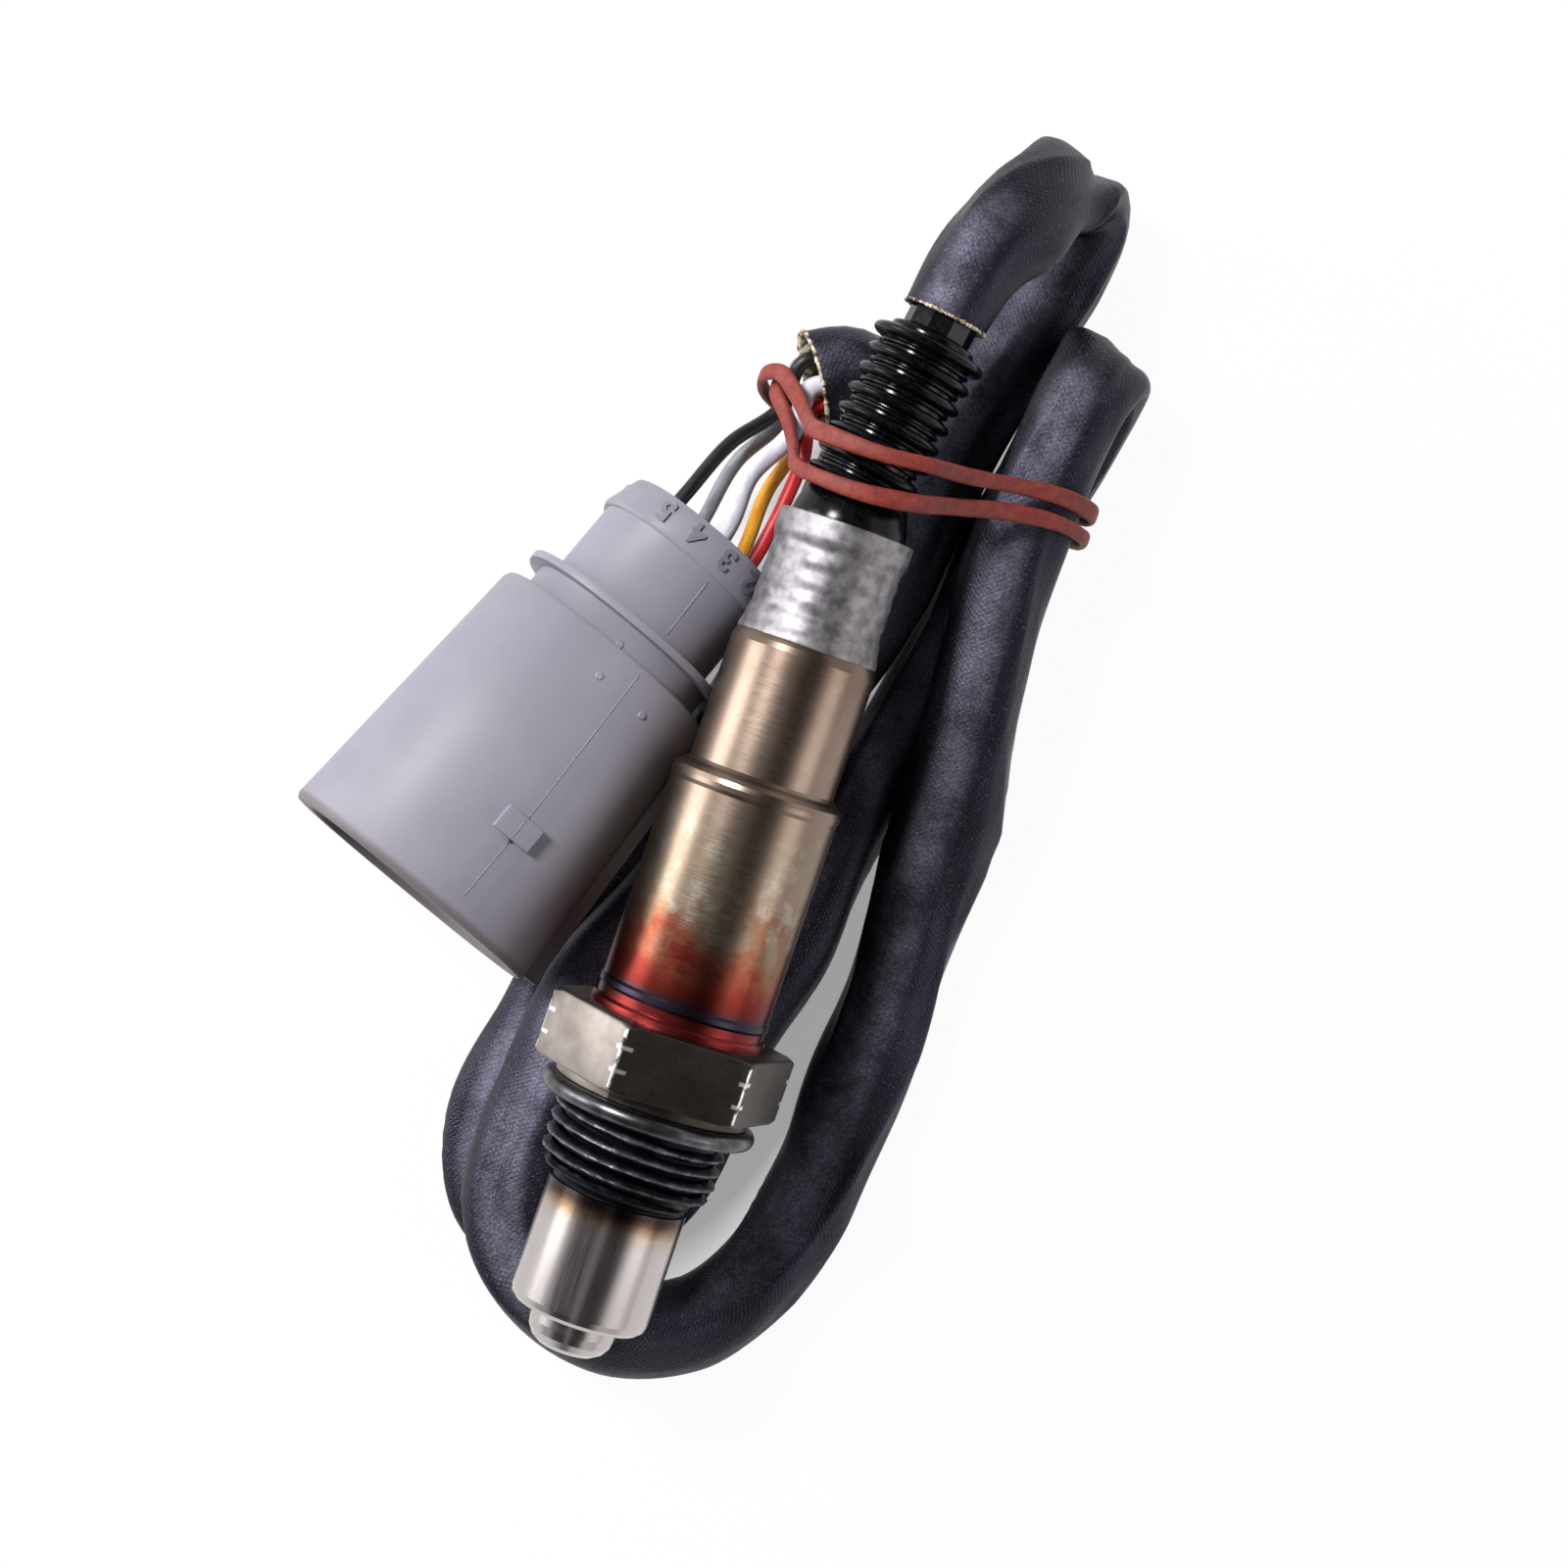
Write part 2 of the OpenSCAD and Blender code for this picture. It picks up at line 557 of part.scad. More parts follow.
// Moulded boot: plug end, taper, bellows and cuff
module bellows_boot() {
    root_r = bellows_d / 2 - fold_depth;
    bore_r = boot_bore / 2;
    cuff_slope = 0.4;
    cuff_start = fold_l + 0.6;
    foot_y = grommet_top + fit_gap;
    large_fold = [[0, 0.05], [0.75, 0.11], [1, 0.2], [1, 0.35], [0.75, 0.44], [0, 0.5]];
    small_fold = [[0, 0.63], [0.45, 0.7], [0.45, 0.86], [0, 0.93]];
    last_fold = [for (p = large_fold) [1.35 * p[0], p[1]]];
    function folds(k) = k < fold_n - 1 ? concat(large_fold, small_fold) : last_fold;
    color("black") difference() {
        union() {
            on_axis() rotate_extrude() polygon([[0, foot_y], [plug_r, foot_y], [plug_r, sleeve_top + 0.4],
                [plug_r - 0.25, sleeve_top + 1.4], [root_r + 0.8, lean_y - 0.3], [root_r + 0.4, lean_y + 0.15],
                [0, lean_y + 0.15]]);
            on_boot() rotate_extrude() polygon(concat([[0, -1], [root_r, -1]],
                [for (k = [0 : fold_n - 1]) for (p = folds(k))
                    [root_r + p[0] * fold_depth, (k + p[1]) * fold_pitch]],
                [[root_r, cuff_start], [cuff_d / 2, cuff_start + cuff_slope], [cuff_d / 2, fold_l + cuff_l],
                    [0, fold_l + cuff_l]]));
        }
        on_axis() rotate_extrude() polygon([[0, foot_y - 1], [plug_r - 1, foot_y - 1], [plug_r - 1, foot_y],
            [bore_r + 0.4, lean_y - 1], [0, lean_y - 1]]);
        on_boot() translate([0, 0, -2]) cylinder(r = bore_r, h = fold_l + cuff_l + 4);
    }
}

// Flat ceramic strip that senses the gas
module sensor_element() {
    color("white") on_axis(element_y) translate([-element_w / 2, -element_t / 2, 0])
        cube([element_w, element_t, element_l]);
}

module lower_ceramic() {
    color("beige") on_axis() difference() {
        translate([0, 0, chamber_y]) cylinder(r = packing_r, h = lower_ceramic_l);
        element_slot(chamber_y - 1, talc_y + 1);
    }
}

module talc_packing() {
    color("whitesmoke") on_axis() difference() {
        translate([0, 0, talc_y]) cylinder(r = packing_r, h = talc_l);
        element_slot(talc_y - 1, upper_y + 1);
    }
}

module upper_ceramic() {
    color("beige") on_axis() difference() {
        union() {
            translate([0, 0, upper_y]) cylinder(r = packing_r, h = upper_ceramic_l);
            translate([0, 0, press_y]) cylinder(r = boss_r, h = boss_top - press_y);
        }
        element_slot(upper_y - 1, boss_top + 1);
    }
}

// Ring that the body's lip presses on the upper ceramic
module press_ring() {
    color("gray") on_axis() band_ring(packing_r, boss_r + fit_gap, press_y + fit_gap, lip_y - fit_gap);
}

// Ceramic holder with a slot for the element and channels for its springs
module contact_holder() {
    channel_h = 1.6;
    color("white") on_axis() difference() {
        translate([0, 0, holder_y]) cylinder(r = holder_r, h = holder_l);
        element_slot(holder_y - 1, holder_top + 1);
        translate([-element_w / 2 - slot_gap, -channel_h - element_t / 2, holder_y + 3])
            cube([element_w + 2 * slot_gap, 2 * channel_h + element_t, holder_l]);
    }
}

// Bowed contact strips on both faces of the element
module contact_springs() {
    gap = 0.02;
    foot = holder_y + 4;
    top = terminal_y - fit_gap;
    rise = 0.7;
    inner = element_t / 2 + gap;
    upper_n = 3;
    color("gold") on_axis() for (k = [0 : lead_n - 1]) {
        side = k < upper_n ? 1 : -1;
        x = (k < upper_n ? k - 1 : k - upper_n - 0.5) * spring_step;
        translate([x + spring_w / 2, 0, 0]) rotate([0, -90, 0]) linear_extrude(spring_w)
            polygon([for (p = [[foot, inner + rise], [foot + 3, inner], [foot + 5, inner], [holder_top - 1.5, inner + rise],
                [top, inner + rise], [top, inner + rise + spring_t], [holder_top - 1.6, inner + rise + spring_t],
                [foot + 5, inner + spring_t], [foot + 3, inner + spring_t], [foot, inner + rise + spring_t]])
                [p[0], side * p[1]]]);
    }
}

// Split spring ring that clamps the holder
module holder_spring() {
    split = 1.5;
    start = holder_y + 4;
    l = holder_l * 0.47;
    color("silver") on_axis() difference() {
        band_ring(holder_r + fit_gap + ring_spring_t, holder_r + fit_gap, start, start + l);
        translate([0, -split / 2, start - 1]) cube([holder_r + 2, split, l + 2]);
    }
}

// Crimped ends of the leads, with a tab to each contact strip
module crimp_terminals() {
    tab_t = 0.4;
    color("goldenrod") on_axis(terminal_y) for (k = [0 : lead_n - 1]) rotate([0, 0, 360 * k / lead_n]) {
        translate([lead_circle_r, 0, 0]) difference() {
            cylinder(d = terminal_d, h = terminal_l);
            translate([0, 0, 1]) cylinder(d = lead_d + 2 * fit_gap, h = terminal_l);
        }
        translate([1.6, -0.5, 0]) cube([lead_circle_r - 1.6, 1, tab_t]);
    }
}

// Leads from the terminals through grommet and boot
module inner_leads() {
    color("dimgray") for (k = [0 : lead_n - 1]) {
        a = 360 * k / lead_n;
        c = cos(a);
        s = sin(a);
        boot_end = fold_l + cuff_l;
        wire([[lead_circle_r * c, terminal_y + 1.1, lead_circle_r * s],
            [lead_circle_r * c, grommet_top + 0.3, lead_circle_r * s],
            [boot_x + bundle_r * c, lean_y - 1, bundle_r * s],
            [boot_x + bundle_r * c + boot_end * sin(boot_lean), lean_y + boot_end * cos(boot_lean),
                bundle_r * s]], lead_d);
    }
}

// Woven sheath, solid between its open ends, where it is a sleeve
module sheath() {
    t = tangents(sheath_route);
    s = sides(t);
    last = len(sheath_route) - 1;
    cuff_mouth = cuff_d + 4 * fit_gap + 2 * sheath_wall + 0.3;
    function high(i) = i <= 1 ? cuff_mouth : sheath_route[i][3];
    function wide(i) = i <= 1 ? cuff_mouth : pressed_width(sheath_d, sheath_route[i][3]);
    function at(i) = place(sheath_route[i]);
    cuff_dir = unit(at(1) - at(0));
    end_dir = unit(at(last - 1) - at(last));
    bore = 2 * sheath_wall;
    color("#24222c") skin(concat(
        [ring(at(0) + cuff_pocket * cuff_dir, s[0], t[0], high(0) - bore, high(0) - bore, sheath_sides),
            ring(at(0), s[0], t[0], high(0) - bore, high(0) - bore, sheath_sides)],
        [for (i = [0 : last]) ring(at(i), s[i], t[i], wide(i), high(i), sheath_sides)],
        [ring(at(last), s[last], t[last], wide(last) - bore, high(last) - bore, sheath_sides),
            ring(at(last) + wire_pocket * end_dir, s[last], t[last], wide(last) - bore, high(last) - bore,
                sheath_sides)]));
}

// A wire from inside the sheath's open end, under the band and past a free point, into its cavity
function wire_route(way, cavity) = let (
        last = len(sheath_route) - 1,
        mouth = place(sheath_route[last]),
        out = unit(mouth - place(sheath_route[last - 1])),
        s = sides(tangents(sheath_route))[last],
        off = way[0][0] * s + way[0][1] * cross(s, out))
    [mouth + off - (wire_pocket - 0.3) * out, mouth + off - 1.5 * out, mouth + off + way[0][2] * out,
        way[1], way[2], cavity_point(cavity, plug_l + 2), cavity_point(cavity, pin_back - crimp_bore_l + 0.2)];

module wire_black() {
    color("#202020") wire(wire_route(black_way, black_cavity), wire_d);
}

module wire_grey() {
    color("gray") wire(wire_route(grey_way, grey_cavity), wire_d);
}

module wire_white() {
    color("white") wire(wire_route(white_way, white_cavity), heater_wire_d);
}

module wire_yellow() {
    color("goldenrod") wire(wire_route(yellow_way, yellow_cavity), wire_d);
}

module wire_red() {
    color("red") wire(wire_route(red_way, red_cavity), wire_d);
}

// Closed band of flat oval section
module rubber_band() {
    n = len(band_route);
    points = [for (i = [0 : n - 1])
        let (t = unit(band_route[(i + 1) % n] - band_route[(i + n - 1) % n]),
            side = unit([0, 1, 0] - ([0, 1, 0] * t) * t))
        for (p = ring(band_route[i], side, t, band_w, band_t, band_sides)) p];
    faces = [for (i = [0 : n - 1]) for (k = [0 : band_sides - 1]) for (half = [0, 1])
        let (j = (i + 1) % n, m = (k + 1) % band_sides,
            a = i * band_sides + k, b = i * band_sides + m, c = j * band_sides + m, d = j * band_sides + k)
        half == 0 ? [a, b, c] : [a, c, d]];
    color("#8f3a2f") polyhedron(points = points, faces = faces);
}

// Cup with its socket, web, waist, key lug and side rail
module connector_housing() {
    edge = 0.5;
    wall = 2 * cup_wall;
    socket_end = cup_depth / cup_l;
    socket_w = cup_w + (cup_end_w - cup_w) * socket_end - wall;
    socket_h = cup_h + (cup_end_h - cup_h) * socket_end - wall;
    lug = [4.2, 2.6, 0.9];
    lug_x = 5;
    lug_y = cup_h / 2 - 0.85;
    lug_z = 9.4;
    lug_turn = 12;
    lug_root = 1.2;
    rail = [1.3, 3.4];
    rail_root = 1.4;
    color("#8f8b9c") on_plug() {
        difference() {
            union() {
                ovals([[cup_w - edge, cup_h - edge, 0], [cup_w, cup_h, edge],
                    [cup_end_w, cup_end_h, cup_l - edge], [cup_end_w - edge, cup_end_h - edge, cup_l]]);
                translate([0, 0, cup_l - 1]) ovals([[waist_w, waist_h, 0], [waist_w, waist_h, waist_l + 1]]);
                translate([lug_x, -lug_y, lug_z]) rotate([0, 0, lug_turn])
                    translate([-lug[0] / 2, -lug[2], 0]) cube([lug[0], lug[2] + lug_root, lug[1]]);
                hull() for (end = [[cup_w, edge], [cup_end_w, cup_l - 2]])
                    translate([end[0] / 2 - rail_root, -rail[1] / 3, end[1]])
                        cube([rail_root + rail[0], rail[1], edge]);
            }
            ovals([[cup_w - wall, cup_h - wall, -1], [cup_w - wall, cup_h - wall, 0],
                [socket_w, socket_h, cup_depth]]);
            cylinder(r = carrier_r + slide_gap, h = disc_z + 1);
        }
    }
}

// Cap with disc, neck and end flange that holds the wire seals
module rear_cap() {
    pocket_r = carrier_r + slide_gap;
    flange_edge = 0.4;
    flange_taper = 2.2;
    color("#8f8b9c") on_plug() difference() {
        union() {
            ovals([[disc_w, disc_h, disc_z], [disc_w, disc_h, cap_neck_z]]);
            ovals([[cap_neck_w, cap_neck_h, disc_z], [cap_neck_w, cap_neck_h, plug_l - 1]]);
            ovals([[cap_flange_w - flange_edge, cap_flange_h - flange_edge, cap_flange_z],
                [cap_flange_w, cap_flange_h, cap_flange_z + flange_edge],
                [cap_flange_w - flange_taper, cap_flange_h - flange_edge, plug_l]]);
        }
        translate([0, 0, disc_z - 1]) cylinder(r = pocket_r, h = carrier_back + lock_t + slide_gap - disc_z + 1);
        for (k = [0 : 5]) at_cavity(k) translate([0, 0, disc_z])
            cylinder(d = cavity_d, h = plug_l - disc_z + 1);
    }
}

// Insert that carries the six contacts
module pin_carrier() {
    front_t = 2;
    color("#3a3a40") on_plug() difference() {
        translate([0, 0, carrier_front]) cylinder(r = carrier_r, h = carrier_back - carrier_front);
        for (k = [0 : 5]) at_cavity(k) {
            translate([0, 0, carrier_front - 1]) cylinder(d = pin_d + 2 * fit_gap, h = 10);
            translate([0, 0, carrier_front + front_t]) cylinder(d = 2.8, h = 30);
        }
        translate([0, 0, carrier_back - 7]) cylinder(d = 3, h = 8);
        rotate([0, 0, -cavity_angle(blind_cavity)]) translate([0, -0.5, carrier_back - 7])
            cube([cavity_circle_r, 1, 8]);
        rotate([0, 0, -cavity_angle(white_cavity)]) translate([0, -0.5, carrier_back - 7])
            cube([cavity_circle_r, 1, 8]);
    }
}

// Six pins with their crimp barrels
module contact_pins() {
    color("silver") on_plug() for (k = [0 : 5]) at_cavity(k) {
        bore_d = (k == white_cavity ? heater_wire_d : wire_d) + 2 * fit_gap;
        barrel_z = carrier_front + 2 + fit_gap;
        tip_z = cup_depth - pin_reach;
        tip_l = 1.2;
        translate([0, 0, tip_z]) cylinder(d1 = pin_d * 0.5, d2 = pin_d, h = tip_l);
        translate([0, 0, tip_z + tip_l]) cylinder(d = pin_d, h = barrel_z - tip_z - tip_l);
        difference() {
            translate([0, 0, barrel_z]) cylinder(d = 2.6, h = pin_back - barrel_z);
            translate([0, 0, pin_back - crimp_bore_l]) cylinder(d = bore_d, h = crimp_bore_l + 1);
        }
    }
}

module terminal_lock() {
    color("#b5452e") on_plug(carrier_back + fit_gap) difference() {
        cylinder(r = carrier_r - fit_gap, h = lock_t);
        for (k = [0 : 5]) at_cavity(k) translate([0, 0, -1]) cylinder(d = 2.8, h = lock_t + 2);
    }
}

// Trimming resistor in the carrier's centre, wired to two contacts
module trim_resistor() {
    z = carrier_back - 6.4;
    color("#2f5f8f") on_plug(z) {
        cylinder(d = 2.4, h = 5.6);
        for (end = [[blind_cavity, 0.4], [white_cavity, 5.2]])
            rotate([0, 0, -cavity_angle(end[0])]) translate([0, 0, end[1]])
                rotate([0, 90, 0]) cylinder(d = 0.5, h = cavity_circle_r - 1.32, $fn = 16);
    }
}

// Ribbed seals on the five wires
module wire_seals() {
    rib = 0.25;
    r = cavity_d / 2 - fit_gap;
    color("#c96a3a") on_plug(seal_z) for (k = [0 : 5]) if (k != blind_cavity) at_cavity(k) {
        bore_r = (k == white_cavity ? heater_wire_d : wire_d) / 2 + fit_gap;
        seal_l = plug_l - seal_z - 0.6;
        rotate_extrude() polygon(concat([[bore_r, 0]],
            [for (i = [0 : 2]) for (p = [[r - rib, 0], [r, 0.4], [r, 0.8], [r - rib, 1.2]])
                [p[0], (i * 1.8 + p[1]) * seal_l / 5]],
            [[r - rib, seal_l], [bore_r, seal_l]]));
    }
}

module blind_plug() {
    r = cavity_d / 2 - fit_gap;
    color("#c96a3a") on_plug(seal_z) at_cavity(blind_cavity) {
        cylinder(r = r, h = plug_l - seal_z - 0.4);
        translate([0, 0, plug_l - seal_z - 0.4]) cylinder(r = r - 0.5, h = 1.2);
    }
}

hex_body();
gasket_ring();
outer_protection_tube();
inner_protection_tube();
barrel_sleeve();
crimp_sleeve();
grommet();
bellows_boot();
sensor_element();
lower_ceramic();
talc_packing();
upper_ceramic();
press_ring();
contact_holder();
contact_springs();
holder_spring();
crimp_terminals();
inner_leads();
sheath();
wire_black();
wire_grey();
wire_white();
wire_yellow();
wire_red();
rubber_band();
connector_housing();
rear_cap();
pin_carrier();
contact_pins();
terminal_lock();
trim_resistor();
wire_seals();
blind_plug();
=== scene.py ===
from functools import partial
import json
import math

import bmesh
import bpy
import numpy as np
from mathutils import Matrix, Vector
from mathutils.bvhtree import BVHTree


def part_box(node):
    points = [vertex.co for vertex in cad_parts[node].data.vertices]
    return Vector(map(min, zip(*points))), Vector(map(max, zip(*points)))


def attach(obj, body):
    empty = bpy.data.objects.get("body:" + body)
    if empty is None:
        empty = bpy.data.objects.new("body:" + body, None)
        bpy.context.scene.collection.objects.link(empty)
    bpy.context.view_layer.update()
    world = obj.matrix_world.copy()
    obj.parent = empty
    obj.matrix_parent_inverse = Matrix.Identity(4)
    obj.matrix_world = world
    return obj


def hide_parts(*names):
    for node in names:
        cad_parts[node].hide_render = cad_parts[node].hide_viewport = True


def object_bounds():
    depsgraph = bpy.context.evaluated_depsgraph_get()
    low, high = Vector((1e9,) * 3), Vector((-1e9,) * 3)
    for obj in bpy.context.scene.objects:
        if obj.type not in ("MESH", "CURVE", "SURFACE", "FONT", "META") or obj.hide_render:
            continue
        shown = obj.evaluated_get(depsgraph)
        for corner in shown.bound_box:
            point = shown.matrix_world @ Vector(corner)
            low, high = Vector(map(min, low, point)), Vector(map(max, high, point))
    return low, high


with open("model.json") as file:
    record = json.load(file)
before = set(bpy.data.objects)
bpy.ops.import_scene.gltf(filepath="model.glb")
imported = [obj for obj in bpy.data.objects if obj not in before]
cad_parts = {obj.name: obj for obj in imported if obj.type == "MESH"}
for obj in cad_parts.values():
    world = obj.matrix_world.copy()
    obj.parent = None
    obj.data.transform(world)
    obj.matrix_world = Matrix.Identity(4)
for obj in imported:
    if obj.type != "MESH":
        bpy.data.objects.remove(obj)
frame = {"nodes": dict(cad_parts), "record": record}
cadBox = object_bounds()
mm = 0.001
scene = bpy.context.scene


# Shared helpers

def srgb(hexValue):
    # Hex colour as written on a paint chart, turned to the linear values that the shaders take
    parts = [int(hexValue[i:i + 2], 16) / 255 for i in (1, 3, 5)]
    return tuple(c / 12.92 if c < 0.04045 else ((c + 0.055) / 1.055) ** 2.4 for c in parts) + (1.0,)


def feed(node, inputs):
    # Inputs by name, by number or in order: a node or socket is linked, a value is set
    for name, value in inputs.items() if isinstance(inputs, dict) else enumerate(inputs):
        if isinstance(value, bpy.types.Node):
            value = next(socket for socket in value.outputs if socket.enabled)
        if isinstance(value, bpy.types.NodeSocket):
            node.id_data.links.new(value, node.inputs[name])
        else:
            node.inputs[name].default_value = value


def addNode(tree, kind, inputs=(), **settings):
    # A node, fed; a kind without Node in it is a shader's. A Mix has its share at 0, its colours at 6 and 7
    node = tree.nodes.new(kind if "Node" in kind else "ShaderNode" + kind)
    for name, value in settings.items():
        setattr(node, name, value)
    feed(node, inputs)
    return node


def setStops(ramp, stops):
    # Colour stops as {place: hex colour}
    elements = ramp.color_ramp.elements
    while len(elements) > 1:
        elements.remove(elements[-1])
    for i, (place, colour) in enumerate(sorted(stops.items())):
        element = elements[0] if i == 0 else elements.new(place)
        element.position = place
        element.color = srgb(colour)
    return ramp


def newMaterial(name, metallic=0.0, roughness=0.5, specular=0.5):
    # A material, its own node-adding function and its shader
    material = bpy.data.materials.new(name)
    material.use_nodes = True
    shader = material.node_tree.nodes["Principled BSDF"]
    feed(shader, {"Metallic": metallic, "Roughness": roughness, "Specular IOR Level": specular})
    return material, partial(addNode, material.node_tree), shader


def dress(nodes, material):
    # For the CAD nodes that keep their form
    for node in nodes:
        frame["nodes"][node].material_slots[0].material = material


def addObject(name, data):
    thing = bpy.data.objects.new(name, data)
    scene.collection.objects.link(thing)
    return thing


def bakedMesh(carrier):
    # What the object shows, as a plain mesh; the object goes
    mesh = bpy.data.meshes.new_from_object(carrier.evaluated_get(bpy.context.evaluated_depsgraph_get()))
    carrier.modifiers.clear()
    bpy.data.objects.remove(carrier)
    return mesh


def addPiece(name, mesh, replaced=(), material=None):
    # Puts a finished mesh into the scene, riding on the object
    if material:
        mesh.materials.clear()
        mesh.materials.append(material)
    piece = addObject(name, mesh)
    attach(piece, "root")
    if replaced:
        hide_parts(*replaced)
    return piece


def shadeByAngle(mesh, degrees=35):
    mesh.shade_smooth()
    mesh.set_sharp_from_angle(angle=math.radians(degrees))


def skinMesh(name, rings, closed=False, capped=True):
    # Skin over a list of rings, with a map that is in metres around and along
    rings = np.asarray(rings, float)
    count, sides = rings.shape[:2]
    step = np.linalg.norm(np.diff(rings, axis=0), axis=2).mean(axis=1)
    along = np.concatenate([[0], np.cumsum(step), [step.sum() + step.mean()]])
    girth = np.linalg.norm(np.diff(rings, axis=1), axis=2).sum(axis=1).max()
    rows = count if closed else count - 1
    faces = []
    corners = []
    for i in range(rows):
        j = (i + 1) % count
        for k in range(sides):
            m = (k + 1) % sides
            faces.append((i * sides + k, i * sides + m, j * sides + m, j * sides + k))
            u0, u1 = girth * k / sides, girth * (k + 1) / sides
            corners += [u0, along[i], u1, along[i], u1, along[i + 1], u0, along[i + 1]]
    if capped and not closed:
        faces.append(tuple(range(sides))[::-1])
        faces.append(tuple(range((count - 1) * sides, count * sides)))
        corners += [0.0] * (4 * sides)
    mesh = bpy.data.meshes.new(name)
    mesh.from_pydata(rings.reshape(-1, 3).tolist(), [], faces)
    mesh.uv_layers.new(name="UVMap").data.foreach_set("uv", corners)
    mesh.shade_smooth()
    return mesh


def roundOutline(corners, steps=6):
    # Corners (radius, height, fillet) of an outline, each fillet drawn as an arc
    count = len(corners)
    outline = []
    for i, (r, z, fillet) in enumerate(corners):
        here = np.array([r, z])
        before = np.array(corners[i - 1][:2]) - here
        after = np.array(corners[(i + 1) % count][:2]) - here
        if fillet <= 0:
            outline.append(here)
            continue
        reach = min(fillet, 0.49 * np.linalg.norm(before), 0.49 * np.linalg.norm(after))
        start = here + before / np.linalg.norm(before) * reach
        end = here + after / np.linalg.norm(after) * reach
        for s in np.linspace(0, 1, steps):
            outline.append((1 - s) ** 2 * start + 2 * s * (1 - s) * here + s ** 2 * end)
    return outline


def latheMesh(name, corners, place, segments=160, steps=6):
    # Closed outline turned round the Z axis; its outer side runs upwards
    angles = np.linspace(0, 2 * math.pi, segments, endpoint=False)
    rings = [[(r * math.cos(a), r * math.sin(a), z) for a in angles] for r, z in roundOutline(corners, steps)]
    mesh = skinMesh(name, rings, closed=True)
    mesh.transform(place)
    shadeByAngle(mesh, 40)
    return mesh


def smoothLine(points, step, closed=False):
    # Smooth curve through the points at even steps; columns after the third are carried along
    p = np.array(points, float)
    if closed:
        p = np.vstack([p[-1:], p, p[:2]])
    gaps = np.linalg.norm(np.diff(p[:, :3], axis=0), axis=1)[:, None]
    slopes = np.diff(p, axis=0) / gaps
    inner = (slopes[:-1] * gaps[1:] + slopes[1:] * gaps[:-1]) / (gaps[:-1] + gaps[1:])
    leans = inner if closed else np.vstack([slopes[:1], inner, slopes[-1:]])
    if closed:
        p = p[1:-1]
        gaps = gaps[1:-1]
    line = []
    for a, b, leanA, leanB, gap in zip(p[:-1], p[1:], leans[:-1], leans[1:], gaps[:, 0]):
        u = np.linspace(0, 1, max(2, round(gap / step)), endpoint=False)[:, None]
        line.append((2 * u**3 - 3 * u**2 + 1) * a + (u**3 - 2 * u**2 + u) * gap * leanA
                    + (3 * u**2 - 2 * u**3) * b + (u**3 - u**2) * gap * leanB)
    if not closed:
        line.append(p[-1:])
    return np.vstack(line)


def metres(points):
    return np.round(np.array(points) / 1000, 7)  # from mm


def unit(v):
    return v / np.linalg.norm(v, axis=-1, keepdims=True)


def directions(line, closed=False):
    if closed:
        return unit(np.roll(line, -1, axis=0) - np.roll(line, 1, axis=0))
    return unit(np.gradient(line, axis=0))


def levelSides(points):
    # Level side vector at each point; where the cord runs steeply, the last one is carried on
    t = directions(points)
    side = unit(np.cross(t[0], [0, 0, 1]))
    found = []
    for d in t:
        level = np.cross(d, [0, 0, 1])
        if np.linalg.norm(level) > 0.45:
            side = unit(level) * (1 if level @ side >= 0 else -1)
        else:
            side = unit(side - (side @ d) * d)
        found.append(side)
    return np.array(found)


def startGeometry(name, sizes):
    # Geometry tree with one named input for each size, its node-adding function and its inputs
    tree = bpy.data.node_groups.new(name, "GeometryNodeTree")
    for label, value in sizes.items():
        kind = "NodeSocketInt" if isinstance(value, int) else "NodeSocketFloat"
        tree.interface.new_socket(label, in_out="INPUT", socket_type=kind)
    tree.interface.new_socket("Geometry", in_out="OUTPUT", socket_type="NodeSocketGeometry")
    return tree, partial(addNode, tree), tree.nodes.new("NodeGroupInput").outputs


def runGeometry(tree, geometry, sizes, material, place, angle=40):
    # Ends the tree, runs it once and returns the plain mesh in its place
    real = addNode(tree, "GeometryNodeRealizeInstances", {0: geometry})
    addNode(tree, "NodeGroupOutput", {
        0: addNode(tree, "GeometryNodeSetMaterial", {0: real, "Material": material})})
    carrier = addObject(tree.name, bpy.data.meshes.new(tree.name))
    modifier = carrier.modifiers.new(tree.name, "NODES")
    modifier.node_group = tree
    for item in tree.interface.items_tree:
        if item.name in sizes:
            modifier[item.identifier] = sizes[item.name]
    bpy.context.view_layer.update()
    mesh = bakedMesh(carrier)
    mesh.transform(place)
    shadeByAngle(mesh, angle)
    return mesh


def mergedMesh(name, meshes):
    # Several meshes as one, each keeping its own materials
    merged = bmesh.new()
    materials = []
    for mesh in meshes:
        shift = [materials.index(m) if m in materials else materials.append(m) or len(materials) - 1
                 for m in mesh.materials]
        first = len(merged.faces)
        merged.from_mesh(mesh)
        merged.faces.ensure_lookup_table()
        for face in merged.faces[first:]:
            face.material_index = shift[face.material_index]
    whole = bpy.data.meshes.new(name)
    merged.to_mesh(whole)
    merged.free()
    for material in materials:
        whole.materials.append(material)
    return whole


# Simple materials: one noise gives the tone and, where asked for, relief and gloss too; lengths in mm

